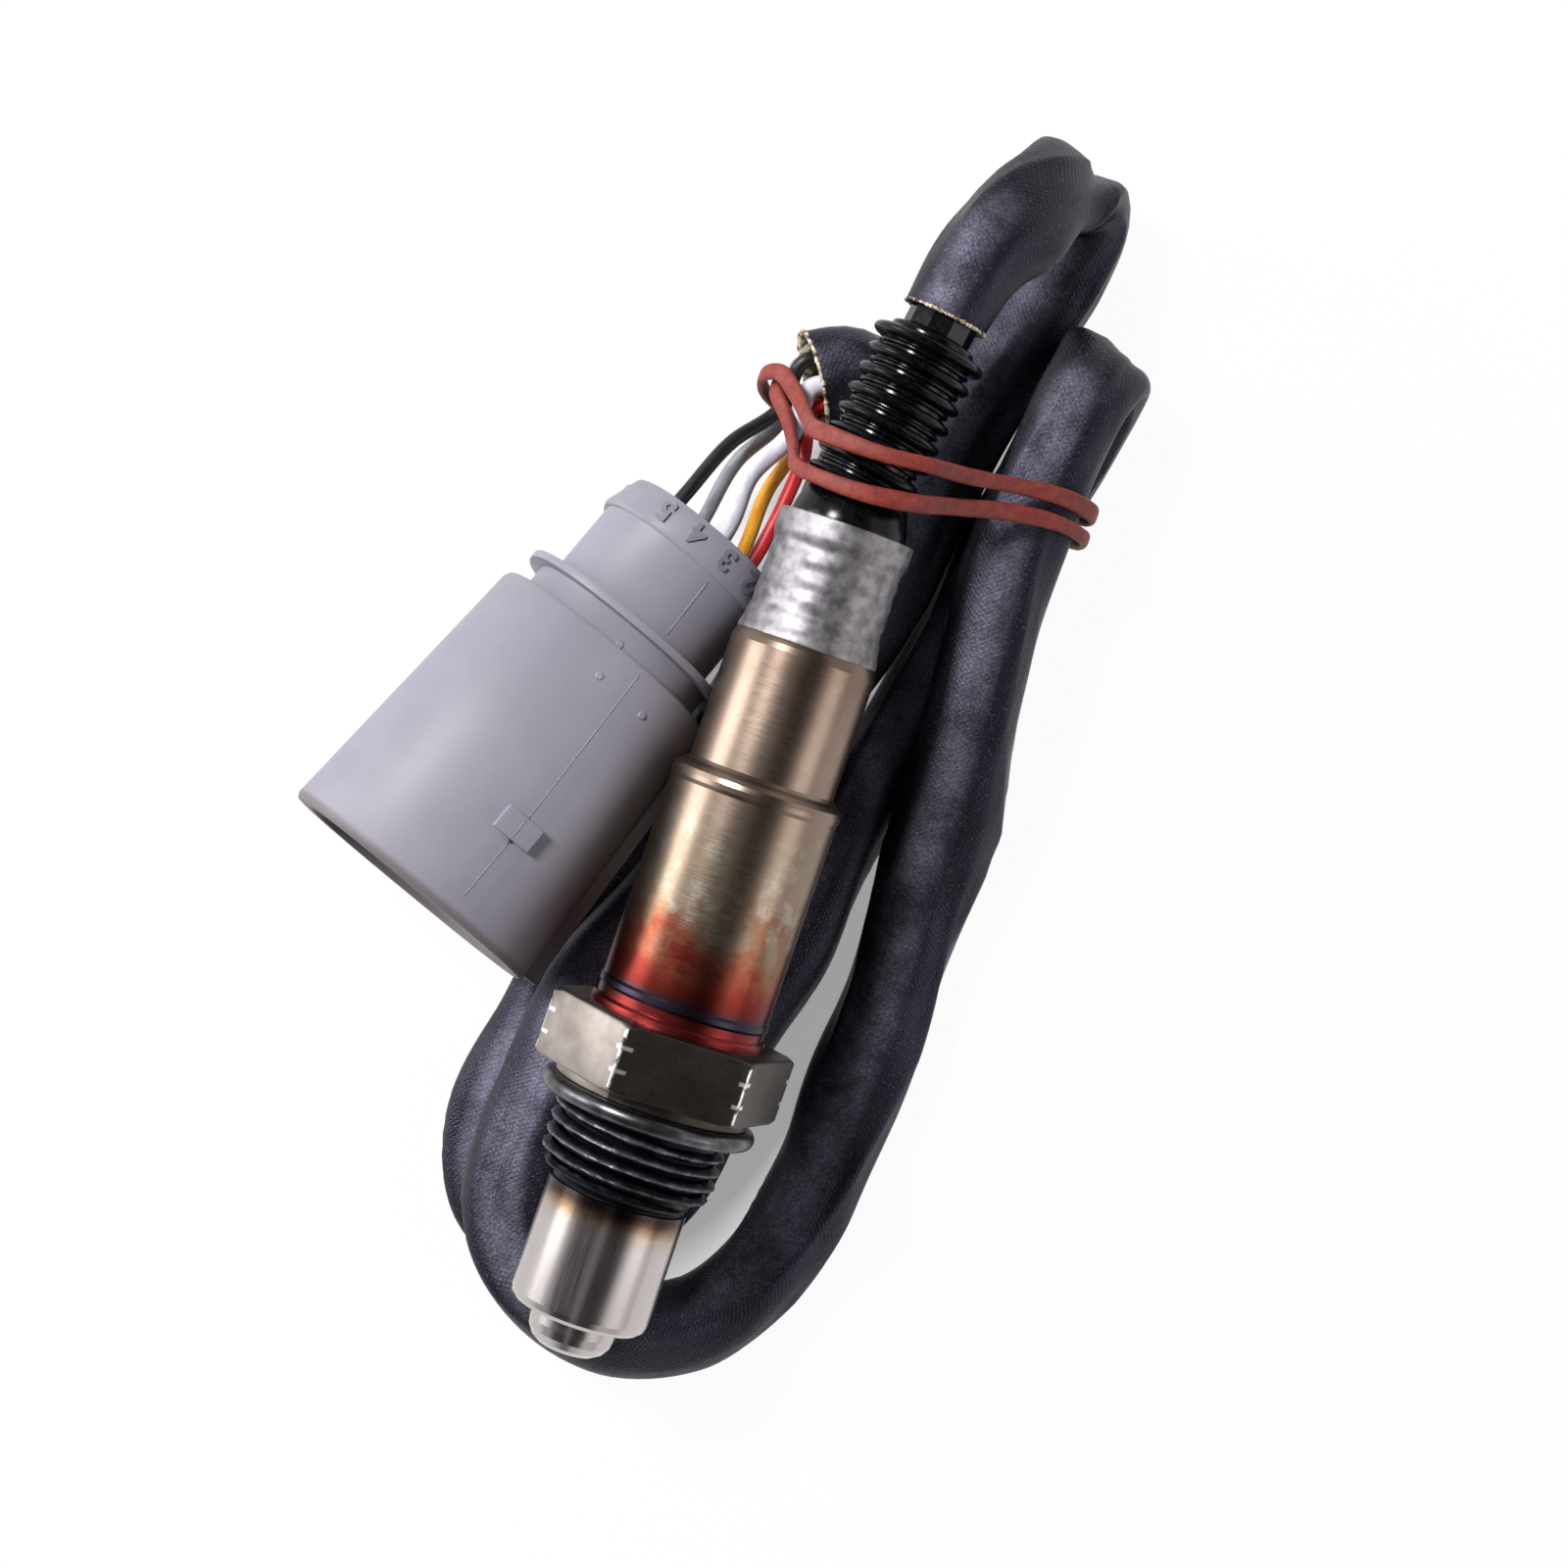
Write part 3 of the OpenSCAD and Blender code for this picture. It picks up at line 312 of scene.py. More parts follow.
simpleLooks = {
    # Cut glass yarn at the sleeve's open ends: cream, browned by the varnish
    "frayed glass yarn": {
        "roughness": 0.7, "patch": 0.7,
        "stops": {0.36: "#3a322b", 0.46: "#8f7c68", 0.56: "#cfc2ac", 0.7: "#ece4d6"}},
    # Natural rubber band: matt, brown-red, dusted with talc
    "brown-red band rubber": {
        "roughness": 0.62, "patch": 1.1, "detail": 5.0, "grain": 0.65, "relief": (0.4, 0.1),
        "stops": {0.3: "#64201a", 0.55: "#842e23", 0.8: "#964638"}},
    # Bright thin sleeve, mottled where the crimping jaws pressed it
    "crimped bright stainless": {
        "metallic": 1.0, "roughness": 0.3, "patch": 1.3, "detail": 4.0, "relief": (0.25, 0.07),
        "gloss": (0.42, 0.58), "stops": {0.35: "#757276", 0.6: "#9b989b"}},
    # Folded steel sheet, dark and satin
    "folded gasket steel": {
        "metallic": 1.0, "roughness": 0.33, "patch": 1.6, "detail": 5.0, "relief": (0.2, 0.05),
        "stops": {0.35: "#4a4a4e", 0.65: "#6e6e70"}},
    # Hexagon's edges: bright where spanners have worn them, dark between
    "worn steel edge": {
        "metallic": 1.0, "roughness": 0.35, "patch": 0.9, "stops": {0.42: "#4a4541", 0.5: "#e6e1dc"}},
    # Moulded fluoro rubber: deep black with a tight gloss and a little dust
    "moulded black rubber": {
        "roughness": 0.2, "specular": 0.25, "patch": 0.5, "detail": 4.0, "gloss": (0.1, 0.3),
        "stops": {0.45: "#040405", 0.75: "#131316"}},
}


def simpleMaterial(name, look=None):
    look = look or simpleLooks[name]
    material, add, shader = newMaterial(
        name, look.get("metallic", 0.0), look["roughness"], look.get("specular", 0.5))
    where = add("TexCoord")
    place = where.outputs["Object"]
    if "drawn" in look:
        place = add("Mapping", {"Vector": where.outputs["UV"], "Scale": look["drawn"]})
    noise = add("TexNoise", {
        "Vector": place, "Scale": 1 / (look["patch"] * mm), "Detail": look.get("detail", 2.0),
        "Roughness": look.get("grain", 0.5)})
    feed(shader, {"Base Color": setStops(add("ValToRGB", {"Fac": noise}), look["stops"])})
    if "relief" in look:
        strength, height = look["relief"]
        bump = add("Bump", {"Height": noise, "Strength": strength, "Distance": height * mm})
        feed(shader, {"Normal": bump})
    if "gloss" in look:
        shiny, dull = look["gloss"]
        feed(shader, {"Roughness": add("MapRange", {"Value": noise, "To Min": shiny, "To Max": dull})})
    return material


# Frames of the sensor, its leaning boot and its connector

onAxis = Matrix.Rotation(math.radians(-90), 4, "X")
stations = {
    "barrelFoot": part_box("barrel_sleeve")[0].y,
    "barrelTop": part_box("barrel_sleeve")[1].y,
    "sleeveTop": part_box("crimp_sleeve")[1].y,
    "floor": cadBox[0][2],
}
mounts = {mount["name"]: mount for mount in frame["record"]["mounts"]}


def plugMatrix():
    # The connector's Z runs from its mouth to its wires, its X is level
    z = -Vector(mounts["harness_socket"]["axis"]).normalized()
    x = Vector((z.y, -z.x, 0)).normalized()
    y = z.cross(x)
    turn = Matrix((x, y, z)).transposed().to_4x4()
    return Matrix.Translation(mounts["harness_socket"]["pos_m"]) @ turn


onPlug = plugMatrix()
print("frame loaded")


# Camera, first of all, because the cords are measured against its view

cameraLook = {
    "position": (0.0023, 0.0475, 0.275),
    "target": (0.0023, 0.0356, 0.0),
    "up": (-0.326, 0.945, 0.0),  # the photo's upright, as seen on the floor
    "lens": 64,
}


def makeCamera(look):
    data = bpy.data.cameras.new("camera")
    data.lens = look["lens"]
    data.sensor_width = 36
    data.clip_start = 0.01
    camera = addObject("camera", data)
    back = (Vector(look["position"]) - Vector(look["target"])).normalized()
    right = Vector(look["up"]).cross(back).normalized()
    turn = Matrix((right, back.cross(right), back)).transposed().to_4x4()
    camera.matrix_world = Matrix.Translation(look["position"]) @ turn
    scene.camera = camera


makeCamera(cameraLook)
print("camera done")


# Sleeve of the lead

sheathLook = {
    "cloth": "#070709",
    "sheen": "#17161c",
    "paintedSheen": "#71707f",  # painted sheen: grey painted on the ridges that face the light and along the creases
    "speck": "#8f8ca2",
    "tint": "#ccc8ee",  # of its reflections
    "thread": 0.42,  # braid spacing in mm, drawn coarser than the real yarn so that it shows
    "patch": 6.0,  # mm across a worn, paler patch
}


def coatedSleeve(look):
    # Braided glass fibre under a black varnish: satin, bluish where it catches light, grainy with pale dust;
    # a grey sheen is painted on the ridges that face the light and along the creases
    material, add, shader = newMaterial("coated glass-fibre sleeve", roughness=0.46)
    where = add("TexCoord")
    patches = add("TexNoise", {
        "Vector": where.outputs["Object"], "Scale": 1 / (look["patch"] * mm), "Detail": 6.0,
        "Roughness": 0.65})
    cloth = setStops(add("ValToRGB", {"Fac": patches}), {0.38: look["cloth"], 0.68: look["sheen"]})
    specks = add("TexNoise", {
        "Vector": where.outputs["Object"], "Scale": 1 / (0.3 * mm), "Detail": 2.0, "Roughness": 0.7})
    shown = add("MapRange", {"Value": specks, "From Min": 0.6, "From Max": 0.8, "To Max": 0.34})
    colour = add("Mix", {0: shown, 6: cloth, 7: srgb(look["speck"])}, data_type="RGBA")
    # Painted sheen: grey on the ridges that face the light, as the attribute marks them, and along the crease
    # lines
    ridges = add("Attribute", attribute_name="upper")
    patchy = add("MapRange", {"Value": patches, "From Min": 0.36, "From Max": 0.6, "To Min": 0.2})
    grainy = add("MapRange", {"Value": specks, "From Min": 0.35, "From Max": 0.65, "To Min": 0.35})
    strength = add("Math", (patchy, grainy), operation="MULTIPLY")
    share = add("Math", (ridges.outputs["Fac"], strength), operation="MULTIPLY")
    drawn = add("Mapping", {"Vector": where.outputs["UV"], "Scale": (1, 0.3, 1)})
    crumple = add("TexNoise", {
        "Vector": drawn, "Scale": 1 / (3.2 * mm), "Detail": 3.0, "Roughness": 0.5, "Distortion": 0.4},
        noise_type="RIDGED_MULTIFRACTAL")
    creaseLines = add("MapRange", {"Value": crumple, "From Min": 0.7, "From Max": 1.0, "To Max": 0.4})
    share = add("Math", (share, creaseLines), operation="MAXIMUM")
    paintedSheen = add("Mix", {0: share, 6: colour, 7: srgb(look["paintedSheen"])}, data_type="RGBA")
    turned = []
    for angle in (52, -52):
        turn = add("Mapping", {"Vector": where.outputs["UV"], "Rotation": (0, 0, math.radians(angle))})
        turned.append(add("TexWave", {
            "Vector": turn, "Scale": 0.314 / (look["thread"] * mm), "Distortion": 0.6, "Detail": 1.0,
            "Detail Scale": 1.0}, wave_profile="SIN"))
    braid = add("Math", (turned[0].outputs["Fac"], turned[1].outputs["Fac"]), operation="MAXIMUM")
    woven = add("Bump", {"Height": braid, "Strength": 0.5, "Distance": 0.06 * mm})
    grain = add("Bump", {"Height": specks, "Normal": woven, "Strength": 0.6, "Distance": 0.16 * mm})
    creased = add("Bump", {"Height": crumple, "Normal": grain, "Strength": 0.7, "Distance": 0.5 * mm})
    gloss = add("MapRange", {
        "Value": patches, "From Min": 0.3, "From Max": 0.7, "To Min": 0.5, "To Max": 0.34})
    feed(shader, {
        "Base Color": paintedSheen, "Normal": creased, "Roughness": gloss, "Specular Tint": srgb(look["tint"])})
    return material


# Cords: the sheath and its five wires lie where their CAD tubes lie

sheath = {  # in metres, except where mm are named
    "lit": (-0.28, 0.05, 0.96),  # the side facing the light, where the grey sheen is painted
    "route": [  # x, y, z and the height to which the sleeve is pressed, in mm
        (2.2, 84, 0, 7.8), (3.3, 91.5, 0, 7.8), (5.6, 96.5, -2.6, 7.4), (9, 101, -9, 7.4),
        (12.8, 100.5, -14.2, 7.4), (12.5, 94.5, -16.6, 7), (10, 85, -16.8, 7), (8, 75, -15.4, 7.8),
        (6.8, 63, -14.8, 8.2), (4.6, 53, -14.2, 8), (1.6, 41, -13.6, 7.6), (-1.6, 29.5, -13.4, 7.2),
        (-5.4, 18.5, -13, 6.4), (-9.6, 8.5, -12.6, 5.4), (-10.4, -3, -12.3, 5.4), (-10.8, -11, -12, 5.6),
        (-8.5, -18.5, -12, 6.2), (-3, -23, -11.5, 6), (4, -24.5, -12, 6.5), (11.5, -21.5, -14.8, 7),
        (17.5, -12, -17, 7), (20.3, 5, -17, 7), (20.3, 23, -16.4, 7), (19.8, 37, -13.6, 7),
        (18, 51, -10.5, 7), (17, 65, -9.3, 7), (17.5, 77, -9, 7), (18.6, 83.4, -9.6, 6.4),
        (19.8, 86.2, -12.8, 5.6), (19.8, 83.6, -16.6, 6), (18.6, 77, -16.6, 6.4), (17, 70, -16.2, 6.4),
        (13.5, 50, -17, 7), (10, 28, -17, 7), (6, 4, -16.7, 7.4), (3.5, -10, -17, 7),
        (-3.5, -18.5, -17.8, 5.4), (-11.2, -17, -17.9, 5.2), (-14.3, -9, -17.9, 5.2), (-13.4, 3, -17.9, 5.2),
        (-11, 16, -17.7, 5.6), (-5, 36, -17.6, 5.8), (-1.6, 53, -17.2, 6.4), (-1.2, 65, -16.2, 7.6),
        (-0.4, 71.5, -15.2, 8.2), (-0.9, 76.5, -14.6, 8.4), (-4.6, 77.5, -13.4, 7.4),
        (-8.4, 75.3, -12.2, 6.6)],
    "diameter": 0.0078,
    "girth": 0.0086,  # diameter of the round that the empty sleeve would fill
    "length": 0.513,
    "cuffMouth": 0.0084,  # round mouth over the boot's cuff
    "mouthLength": 0.006,  # it stays round for so far, and is as flat as the route says after as much again
    "calmEnds": (0.01, 0.006),  # lengths at the cuff and at the open end over which the folds fade
    "wall": 0.00045,
    "cuffPocket": 0.007,
    "wirePocket": 0.0032,
    "step": 0.0009,
    "sides": 56,
    "crease": 0.0007,  # height of the folds that the leads inside press into the sleeve
    "wrinkles": {"from": 0.25, "depth": 0.0006, "pitch": 0.0036},  # on the inner side of tight bends
    "paintedSheen": (0.8, 0.19),  # how squarely a ridge faces the lit side, and the span over which its painted sheen turns it grey
    "presses": [  # place, reach and push in mm: where the flat-folded sleeve bulges or is pinched
        ((8, 92, -1), 7, (1.9, 0.3, 0)), ((10.5, 99, -6), 5, (1, 0.4, 0.4)),
        ((6.6, 104, -9), 2.8, (-0.3, 0.8, 0.4)),
        ((2.5, 101, -6), 2.6, (0.3, -0.9, 0)), ((12.5, 105, -11), 2.6, (0, -0.9, 0)),
        ((24.5, 79.5, -12), 2.4, (-2.6, 0, 0)), ((15.5, 88.5, -11), 2.4, (-0.6, 0.8, 0.3)),
        ((21.5, 88.5, -12), 2.2, (0, -0.7, 0)), ((14, 30, -15), 12, (-1.2, 0, 0)),
        ((13, 8, -15), 10, (-1.4, 0, 0)),
        ((6, -19, -10), 4, (0, 0.6, 0.6)), ((-12, -14, -13), 4, (-0.8, -0.5, 0.5))],
    "rims": {"cuff": 0.34, "open": 0.42},  # mm, how thick the frayed yarn stands round each open end
}


def sleeveUnevenness(along, around, look):
    # Slow waves and a few sharp folds along the sleeve, in metres; the same on every run
    luck = np.random.default_rng(7)
    s = along[:, None]
    a = around[None, :]
    lumps = 0
    for turns, wave, size in (
            (2, 0.031, 0.35), (3, 0.047, 0.3), (1, 0.023, 0.25), (4, 0.019, 0.16), (5, 0.013, 0.1)):
        lumps = lumps + size * np.sin(turns * a + 2 * math.pi * s / wave + luck.uniform(0, 6.28))
    folds = 0
    for turns, wave in ((1, 0.09), (2, -0.13), (3, 0.17)):
        ridge = 1 - np.abs(np.sin((turns * a + 2 * math.pi * s / wave + luck.uniform(0, 6.28)) / 2))
        folds = folds + ridge ** 5 * (0.6 + 0.4 * np.sin(2 * math.pi * s / 0.037 + luck.uniform(0, 6.28)))
    return look["crease"] * (0.5 * lumps + 0.8 * folds - 0.45)


def sheathRings(look):
    route = metres(look["route"])
    points = np.hstack([route, levelSides(route[:, :3])])
    line = smoothLine(points, look["step"])
    centre, height = line[:, :3], line[:, 3]
    t = directions(centre)
    side = unit(line[:, 4:7] - (line[:, 4:7] * t).sum(axis=1, keepdims=True) * t)
    up = np.cross(t, side)
    along = np.concatenate([[0], np.cumsum(np.linalg.norm(np.diff(centre, axis=0), axis=1))])
    width = np.sqrt(2 * look["girth"] ** 2 - height ** 2)
    mouth = np.clip((along - look["mouthLength"]) / look["mouthLength"], 0, 1)
    height = look["cuffMouth"] + (height - look["cuffMouth"]) * mouth
    width = look["cuffMouth"] + (width - look["cuffMouth"]) * mouth
    around = np.linspace(0, 2 * math.pi, look["sides"], endpoint=False)
    uneven = sleeveUnevenness(along, around, look)
    cuffCalm, openCalm = look["calmEnds"]
    calm = np.clip(along / cuffCalm, 0, 1) * np.clip((along[-1] - along) / openCalm, 0.3, 1)
    uneven = uneven * calm[:, None]
    bend = np.gradient(t, along, axis=0)  # points to the inner side of each bend
    wrinkles = look["wrinkles"]
    rings, crown = [], []
    for i in range(len(centre)):
        out = np.cos(around)[:, None] * side[i] + np.sin(around)[:, None] * up[i]
        crown.append(out @ np.array(look["lit"]))
        oval = ((width[i] / 2 * np.cos(around))[:, None] * side[i]
                + (height[i] / 2 * np.sin(around))[:, None] * up[i])
        tight = np.clip(out @ bend[i] * look["diameter"] / 2 - wrinkles["from"], 0, 1)
        wave = 0.5 + 0.5 * math.cos(2 * math.pi * along[i] / wrinkles["pitch"])
        wrinkle = -wrinkles["depth"] * tight * wave
        rings.append(centre[i] + oval + (uneven[i] + wrinkle)[:, None] * out)
    rings = np.array(rings)
    for place, reach, push in look["presses"]:
        away = np.linalg.norm(rings - np.array(place) * mm, axis=2) / (reach * mm)
        rings += np.exp(-1.5 * away ** 2)[:, :, None] * np.array(push) * mm
    return centre, rings, np.array(crown), along[-1]


def insideRings(rings, centre, wall, depth, direction):
    # The sleeve's inner side at an open end: a rounded rim, then the bore down to where it is filled
    out = unit(rings - centre)
    shrunk = [rings + 0.15 * wall * direction - 0.25 * wall * out,
              rings + 0.15 * wall * direction - 0.75 * wall * out,
              rings - wall * out - 0.3 * wall * direction, rings - wall * out - 0.5 * depth * direction]
    shrunk.append(centre - depth * direction + (rings - centre - wall * out) * 0.9)
    return shrunk


def frayedRim(ring, thickness, luck):
    # Cut yarn round an open end: a lumpy rope that stands out unevenly
    count = len(ring) * 4
    steps = np.arange(count) / 4
    line = np.array([np.interp(steps, np.arange(len(ring) + 1), np.append(ring[:, i], ring[0, i]))
                     for i in range(3)]).T
    t = directions(line, closed=True)
    out = unit(line - line.mean(axis=0))
    across = np.cross(t, out)
    a = np.linspace(0, 2 * math.pi, 8, endpoint=False)[None, :, None]
    size = thickness * mm / 2 * luck.uniform(0.55, 1.45, (count, 1, 1))
    lump = size * luck.uniform(0.8, 1.2, (count, 8, 1))
    rings = line[:, None, :] + lump * (np.cos(a) * out[:, None, :] + np.sin(a) * across[:, None, :])
    return skinMesh("rim", rings, closed=True)


def makeSheath(look, material, yarn):
    centre, rings, crown, length = sheathRings(look)
    luck = np.random.default_rng(3)
    rims = [frayedRim(rings[0], look["rims"]["cuff"], luck), frayedRim(rings[-1], look["rims"]["open"], luck)]
    first = unit(centre[0] - centre[1])
    last = unit(centre[-1] - centre[-2])
    start = insideRings(rings[0], centre[0], look["wall"], look["cuffPocket"], first)
    end = insideRings(rings[-1], centre[-1], look["wall"], look["wirePocket"], last)
    mesh = skinMesh("sheath", np.concatenate([start[::-1], rings, end]))
    mesh.materials.append(material)
    mesh.materials.append(yarn)
    sides = look["sides"]
    rows = len(start) + len(rings) + len(end) - 1
    yarnRows = list(range(len(start))) + list(range(rows - len(end), rows))
    for row in yarnRows:
        for face in range(row * sides, (row + 1) * sides):
            mesh.polygons[face].material_index = 1
    for rim in rims:
        rim.materials.append(yarn)
    mesh = mergedMesh("sheath", [mesh, *rims])
    mesh.shade_smooth()
    # How much painted sheen each point gets: by how squarely it faces the light
    upper = np.zeros(len(mesh.vertices), dtype=np.float32)
    least, span = look["paintedSheen"]
    upper[len(start) * sides:(len(start) + len(rings)) * sides] = np.clip(
        (crown.ravel() - least) / span, 0, 1)
    mesh.attributes.new("upper", "FLOAT", "POINT").data.foreach_set("value", upper)
    piece = addPiece("sheathSleeve", mesh, ["sheath"])
    print("sheath", round(length, 4), "m")
    return piece, centre


# Radius in metres, angles in degrees, the wires' way through the cap in mm from the mouth
cavities = {"radius": 0.0056, "first": 15, "step": 60, "way": (48.5, 35.4)}


def wireRoute(mouth, out, side, bend):
    # From inside the sleeve's open end, under the band and past a free point, into its cavity
    offset = bend["side"] * mm * side + bend["up"] * mm * np.cross(side, out)
    inside = [mouth + offset + reach * mm * out for reach in (-2.9, -1.5, bend["exit"])]
    angle = math.radians(cavities["first"] + cavities["step"] * bend["cavity"])
    across = (cavities["radius"] * math.cos(angle), -cavities["radius"] * math.sin(angle))
    entry = [tuple(onPlug @ Vector((*across, z * mm))) for z in cavities["way"]]
    return np.array([*inside, *metres([bend["under"], bend["free"]]), *entry])


wires = {  # way out of the sleeve and points on the way in mm, cavity, diameter and colours
    "black": {"side": 2, "up": 0.7, "exit": 0.5, "under": (-10.6, 71.6, -12.8), "free": (-14.2, 66.3, -10.6),
              "cavity": 2, "diameter": 0.0015, "colour": "#1d1d1f", "shade": "#0c0c0d"},
    "grey": {"side": 2, "up": -1.4, "exit": 0.5, "under": (-9.9, 71.2, -14.2), "free": (-13.2, 65, -14.6),
             "cavity": 4, "diameter": 0.0015, "colour": "#8b8d93", "shade": "#74767c"},
    "white": {"side": -0.9, "up": 1.3, "exit": 0.5, "under": (-8.5, 69.5, -10.6), "free": (-11.2, 63.6, -8.8),
              "cavity": 1, "diameter": 0.002, "colour": "#e6e4f0", "shade": "#cfccdc"},
    "yellow": {"side": -1, "up": -1.4, "exit": 0.5, "under": (-7.9, 68.1, -12.6), "free": (-9.2, 63.2, -14.2),
               "cavity": 5, "diameter": 0.0015, "colour": "#dfa22e", "shade": "#c98516"},
    "red": {"side": -2.9, "up": 0.2, "exit": 0.1, "under": (-6.7, 67, -10.5), "free": (-6.9, 63.7, -10.6),
            "cavity": 0, "diameter": 0.0015, "colour": "#d02226", "shade": "#b3161d"},
}


def roundRings(line, diameter, sides):
    t = directions(line)
    side = [unit(np.cross(t[0], [0, 0, 1]))]
    for d in t[1:]:
        side.append(unit(side[-1] - (side[-1] @ d) * d))
    a = np.linspace(0, 2 * math.pi, sides, endpoint=False)[:, None]
    return [c + diameter / 2 * (np.cos(a) * s + np.sin(a) * np.cross(d, s)) for c, s, d in zip(line, side, t)]


def makeWires():
    ends = metres(sheath["route"])[:, :3]
    mouth, side, out = ends[-1], levelSides(ends)[-1], unit(ends[-1] - ends[-2])
    for name, look in wires.items():
        line = smoothLine(wireRoute(mouth, out, side, look), 0.0005)
        mesh = skinMesh("wire_" + name, roundRings(line, look["diameter"], 24))
        # Extruded insulation: even colour, satin skin with faint drawing marks along it
        material = simpleMaterial(name + " wire insulation", {
            "roughness": 0.42, "drawn": (4, 1, 1), "patch": 2, "detail": 3.0, "relief": (0.3, 0.05),
            "stops": {0.35: look["shade"], 0.65: look["colour"]}})
        piece = addPiece("wire" + name, mesh, ["wire_" + name], material)


band = {
    "route": [  # in mm
        (-11.6, 74.6, -9.6), (-9.4, 72.9, -7.6), (-7.6, 70.9, -4.4), (-6.4, 69.6, 0.6), (-4.6, 69.1, 5),
        (0.9, 68.9, 6.7), (5.6, 69.4, 5.8), (9.6, 70, 1.4), (14.7, 71, -2.4), (19.4, 71.6, -4.8),
        (22.7, 71.4, -8.4), (23.1, 71.2, -14), (22.2, 71.4, -18.6), (19, 71.6, -20), (8, 72.5, -20),
        (-3, 73.5, -20), (-8.4, 74, -19.4), (-11.4, 74, -16.4), (-11.9, 73.3, -12.4), (-9.4, 70.2, -9),
        (-7.9, 67.8, -5.5), (-6.9, 65.7, 0.2), (-5.1, 65, 4.9), (0.3, 64.8, 6.7), (4.8, 65.4, 5.8),
        (9.4, 66.8, 1.2), (15.1, 68.4, -2.8), (19.8, 69, -4.9), (22.7, 68.8, -8.4), (23.1, 68.6, -14),
        (22.2, 68.8, -18.6), (19, 69, -20), (8, 69.8, -20), (-3, 70.8, -20), (-9, 71.6, -19.4),
        (-13, 73, -16), (-13.2, 74.3, -12)],
    "width": 0.0017,
    "thickness": 0.0009,
    "sides": 20,
}


def makeBand(look, material):
    line = smoothLine(metres(look["route"]), 0.0005, closed=True)
    t = directions(line, closed=True)
    side = unit(np.array([0, 1, 0]) - t[:, 1:2] * t)
    up = np.cross(t, side)
    along = np.linspace(0, 2 * math.pi, len(line), endpoint=False)[:, None, None]
    a = np.linspace(0, 2 * math.pi, look["sides"], endpoint=False)[None, :, None]
    flat = np.sign(np.cos(a)) * np.abs(np.cos(a)) ** 0.7  # square-cut strip with soft corners
    edge = np.sign(np.sin(a)) * np.abs(np.sin(a)) ** 0.7
    wide = look["width"] / 2 * (1 + 0.08 * np.sin(5 * along) + 0.05 * np.sin(13 * along + 1))
    rings = line[:, None, :] + wide * flat * side[:, None, :] + look["thickness"] / 2 * edge * up[:, None, :]
    mesh = skinMesh("rubberBand", rings, closed=True)
    return addPiece("rubberBand", mesh, ["rubber_band"], material)


sheathPiece, sheathLine = makeSheath(sheath, coatedSleeve(sheathLook), simpleMaterial("frayed glass yarn"))
bandPiece = makeBand(band, simpleMaterial("brown-red band rubber"))
makeWires()
print("cords done")


# Metals

metalLooks = {
    "hexGrain": 0.55,  # mm, rolled and turned bar stock
    "hexMiddle": 3.4 * mm,  # below the barrel's foot
    # painted shade on the hexagon's faces beyond its top corner, away from the light
    "paintedShade": "#38322e",
    "coat": "#1d1e25",
    # paste worn thin on the thread's crests, paler also as a painted highlight
    "paleCrestAndHighlight": "#7a7e8c",
    "crests": (8.5 * mm, 9.0 * mm),
    "nicks": {"apart": 2.3 * mm, "height": 0.26 * mm, "bright": "#e6e1dc"},  # wrench marks across each corner
}
hexRadius = 11 / math.cos(math.radians(30)) * mm  # 22 mm across the flats


def hexagonSteel(look, corner):
    # Stainless bar: dull warm grey faces with fine pits; below the gasket a smeared dark assembly paste; the
    # faces beyond the top corner, away from the light, painted dark as shade
    material, add, shader = newMaterial("turned stainless bar", metallic=1.0, roughness=0.38)
    where = add("TexCoord").outputs["Object"]
    height = add("SeparateXYZ", {0: where})
    grain = add("TexNoise", {
        "Vector": where, "Scale": 1 / (look["hexGrain"] * mm), "Detail": 6.0, "Roughness": 0.7})
    toneShift = add("TexNoise", {"Vector": where, "Scale": 1 / (3.5 * mm), "Detail": 3.0})
    steel = setStops(add("ValToRGB", {"Fac": toneShift}), {0.35: "#857c76", 0.6: "#9c948e", 0.8: "#aca49d"})
    # Painted shade: the faces beyond the top corner, on the side away from the light, darkened
    paintedShade = add("MapRange", {
        "Value": height.outputs["X"], "From Min": corner - 0.1 * mm, "From Max": corner + 0.1 * mm,
        "To Max": 0.85})
    shadedSteel = add("Mix", {0: paintedShade, 6: steel, 7: srgb(look["paintedShade"])}, data_type="RGBA")
    angle = add("Math", (height.outputs["X"], height.outputs["Z"]), operation="ARCTAN2")
    sixths = add("Math", (angle, 3 / math.pi, -math.asin(corner / hexRadius) * 3 / math.pi),
                 operation="MULTIPLY_ADD")
    away = add("Math", (sixths, 0.5), operation="PINGPONG")
    ragged = add("Math", (grain, 0.06, away), operation="MULTIPLY_ADD")
    near = add("MapRange", {"Value": ragged, "From Min": 0.1, "From Max": 0.09})
    middle = stations["barrelFoot"] - look["hexMiddle"]
    offNick = height.outputs["Y"]
    for centre in (middle, look["nicks"]["apart"] / 2):
        offNick = add("Math", (offNick, centre), operation="SUBTRACT")
        offNick = add("Math", {0: offNick}, operation="ABSOLUTE")
    level = add("MapRange", {
        "Value": offNick, "From Min": look["nicks"]["height"], "From Max": look["nicks"]["height"] * 0.5})
    nick = add("Math", (near, level), operation="MULTIPLY")
    nicked = add("Mix", {0: nick, 6: shadedSteel, 7: srgb(look["nicks"]["bright"])}, data_type="RGBA")
    pasted = add("MapRange", {"Value": height.outputs["Y"], "From Min": 0.9 * mm, "From Max": 0.5 * mm})
    colour = add("Mix", {0: pasted, 6: nicked, 7: srgb(look["coat"])}, data_type="RGBA")
    pits = add("Bump", {"Height": grain, "Strength": 0.35, "Distance": 0.05 * mm})
    dull = add("MapRange", {"Value": grain, "To Min": 0.3, "To Max": 0.5})
    feed(shader, {"Base Color": colour, "Normal": pits, "Roughness": dull})
    return material


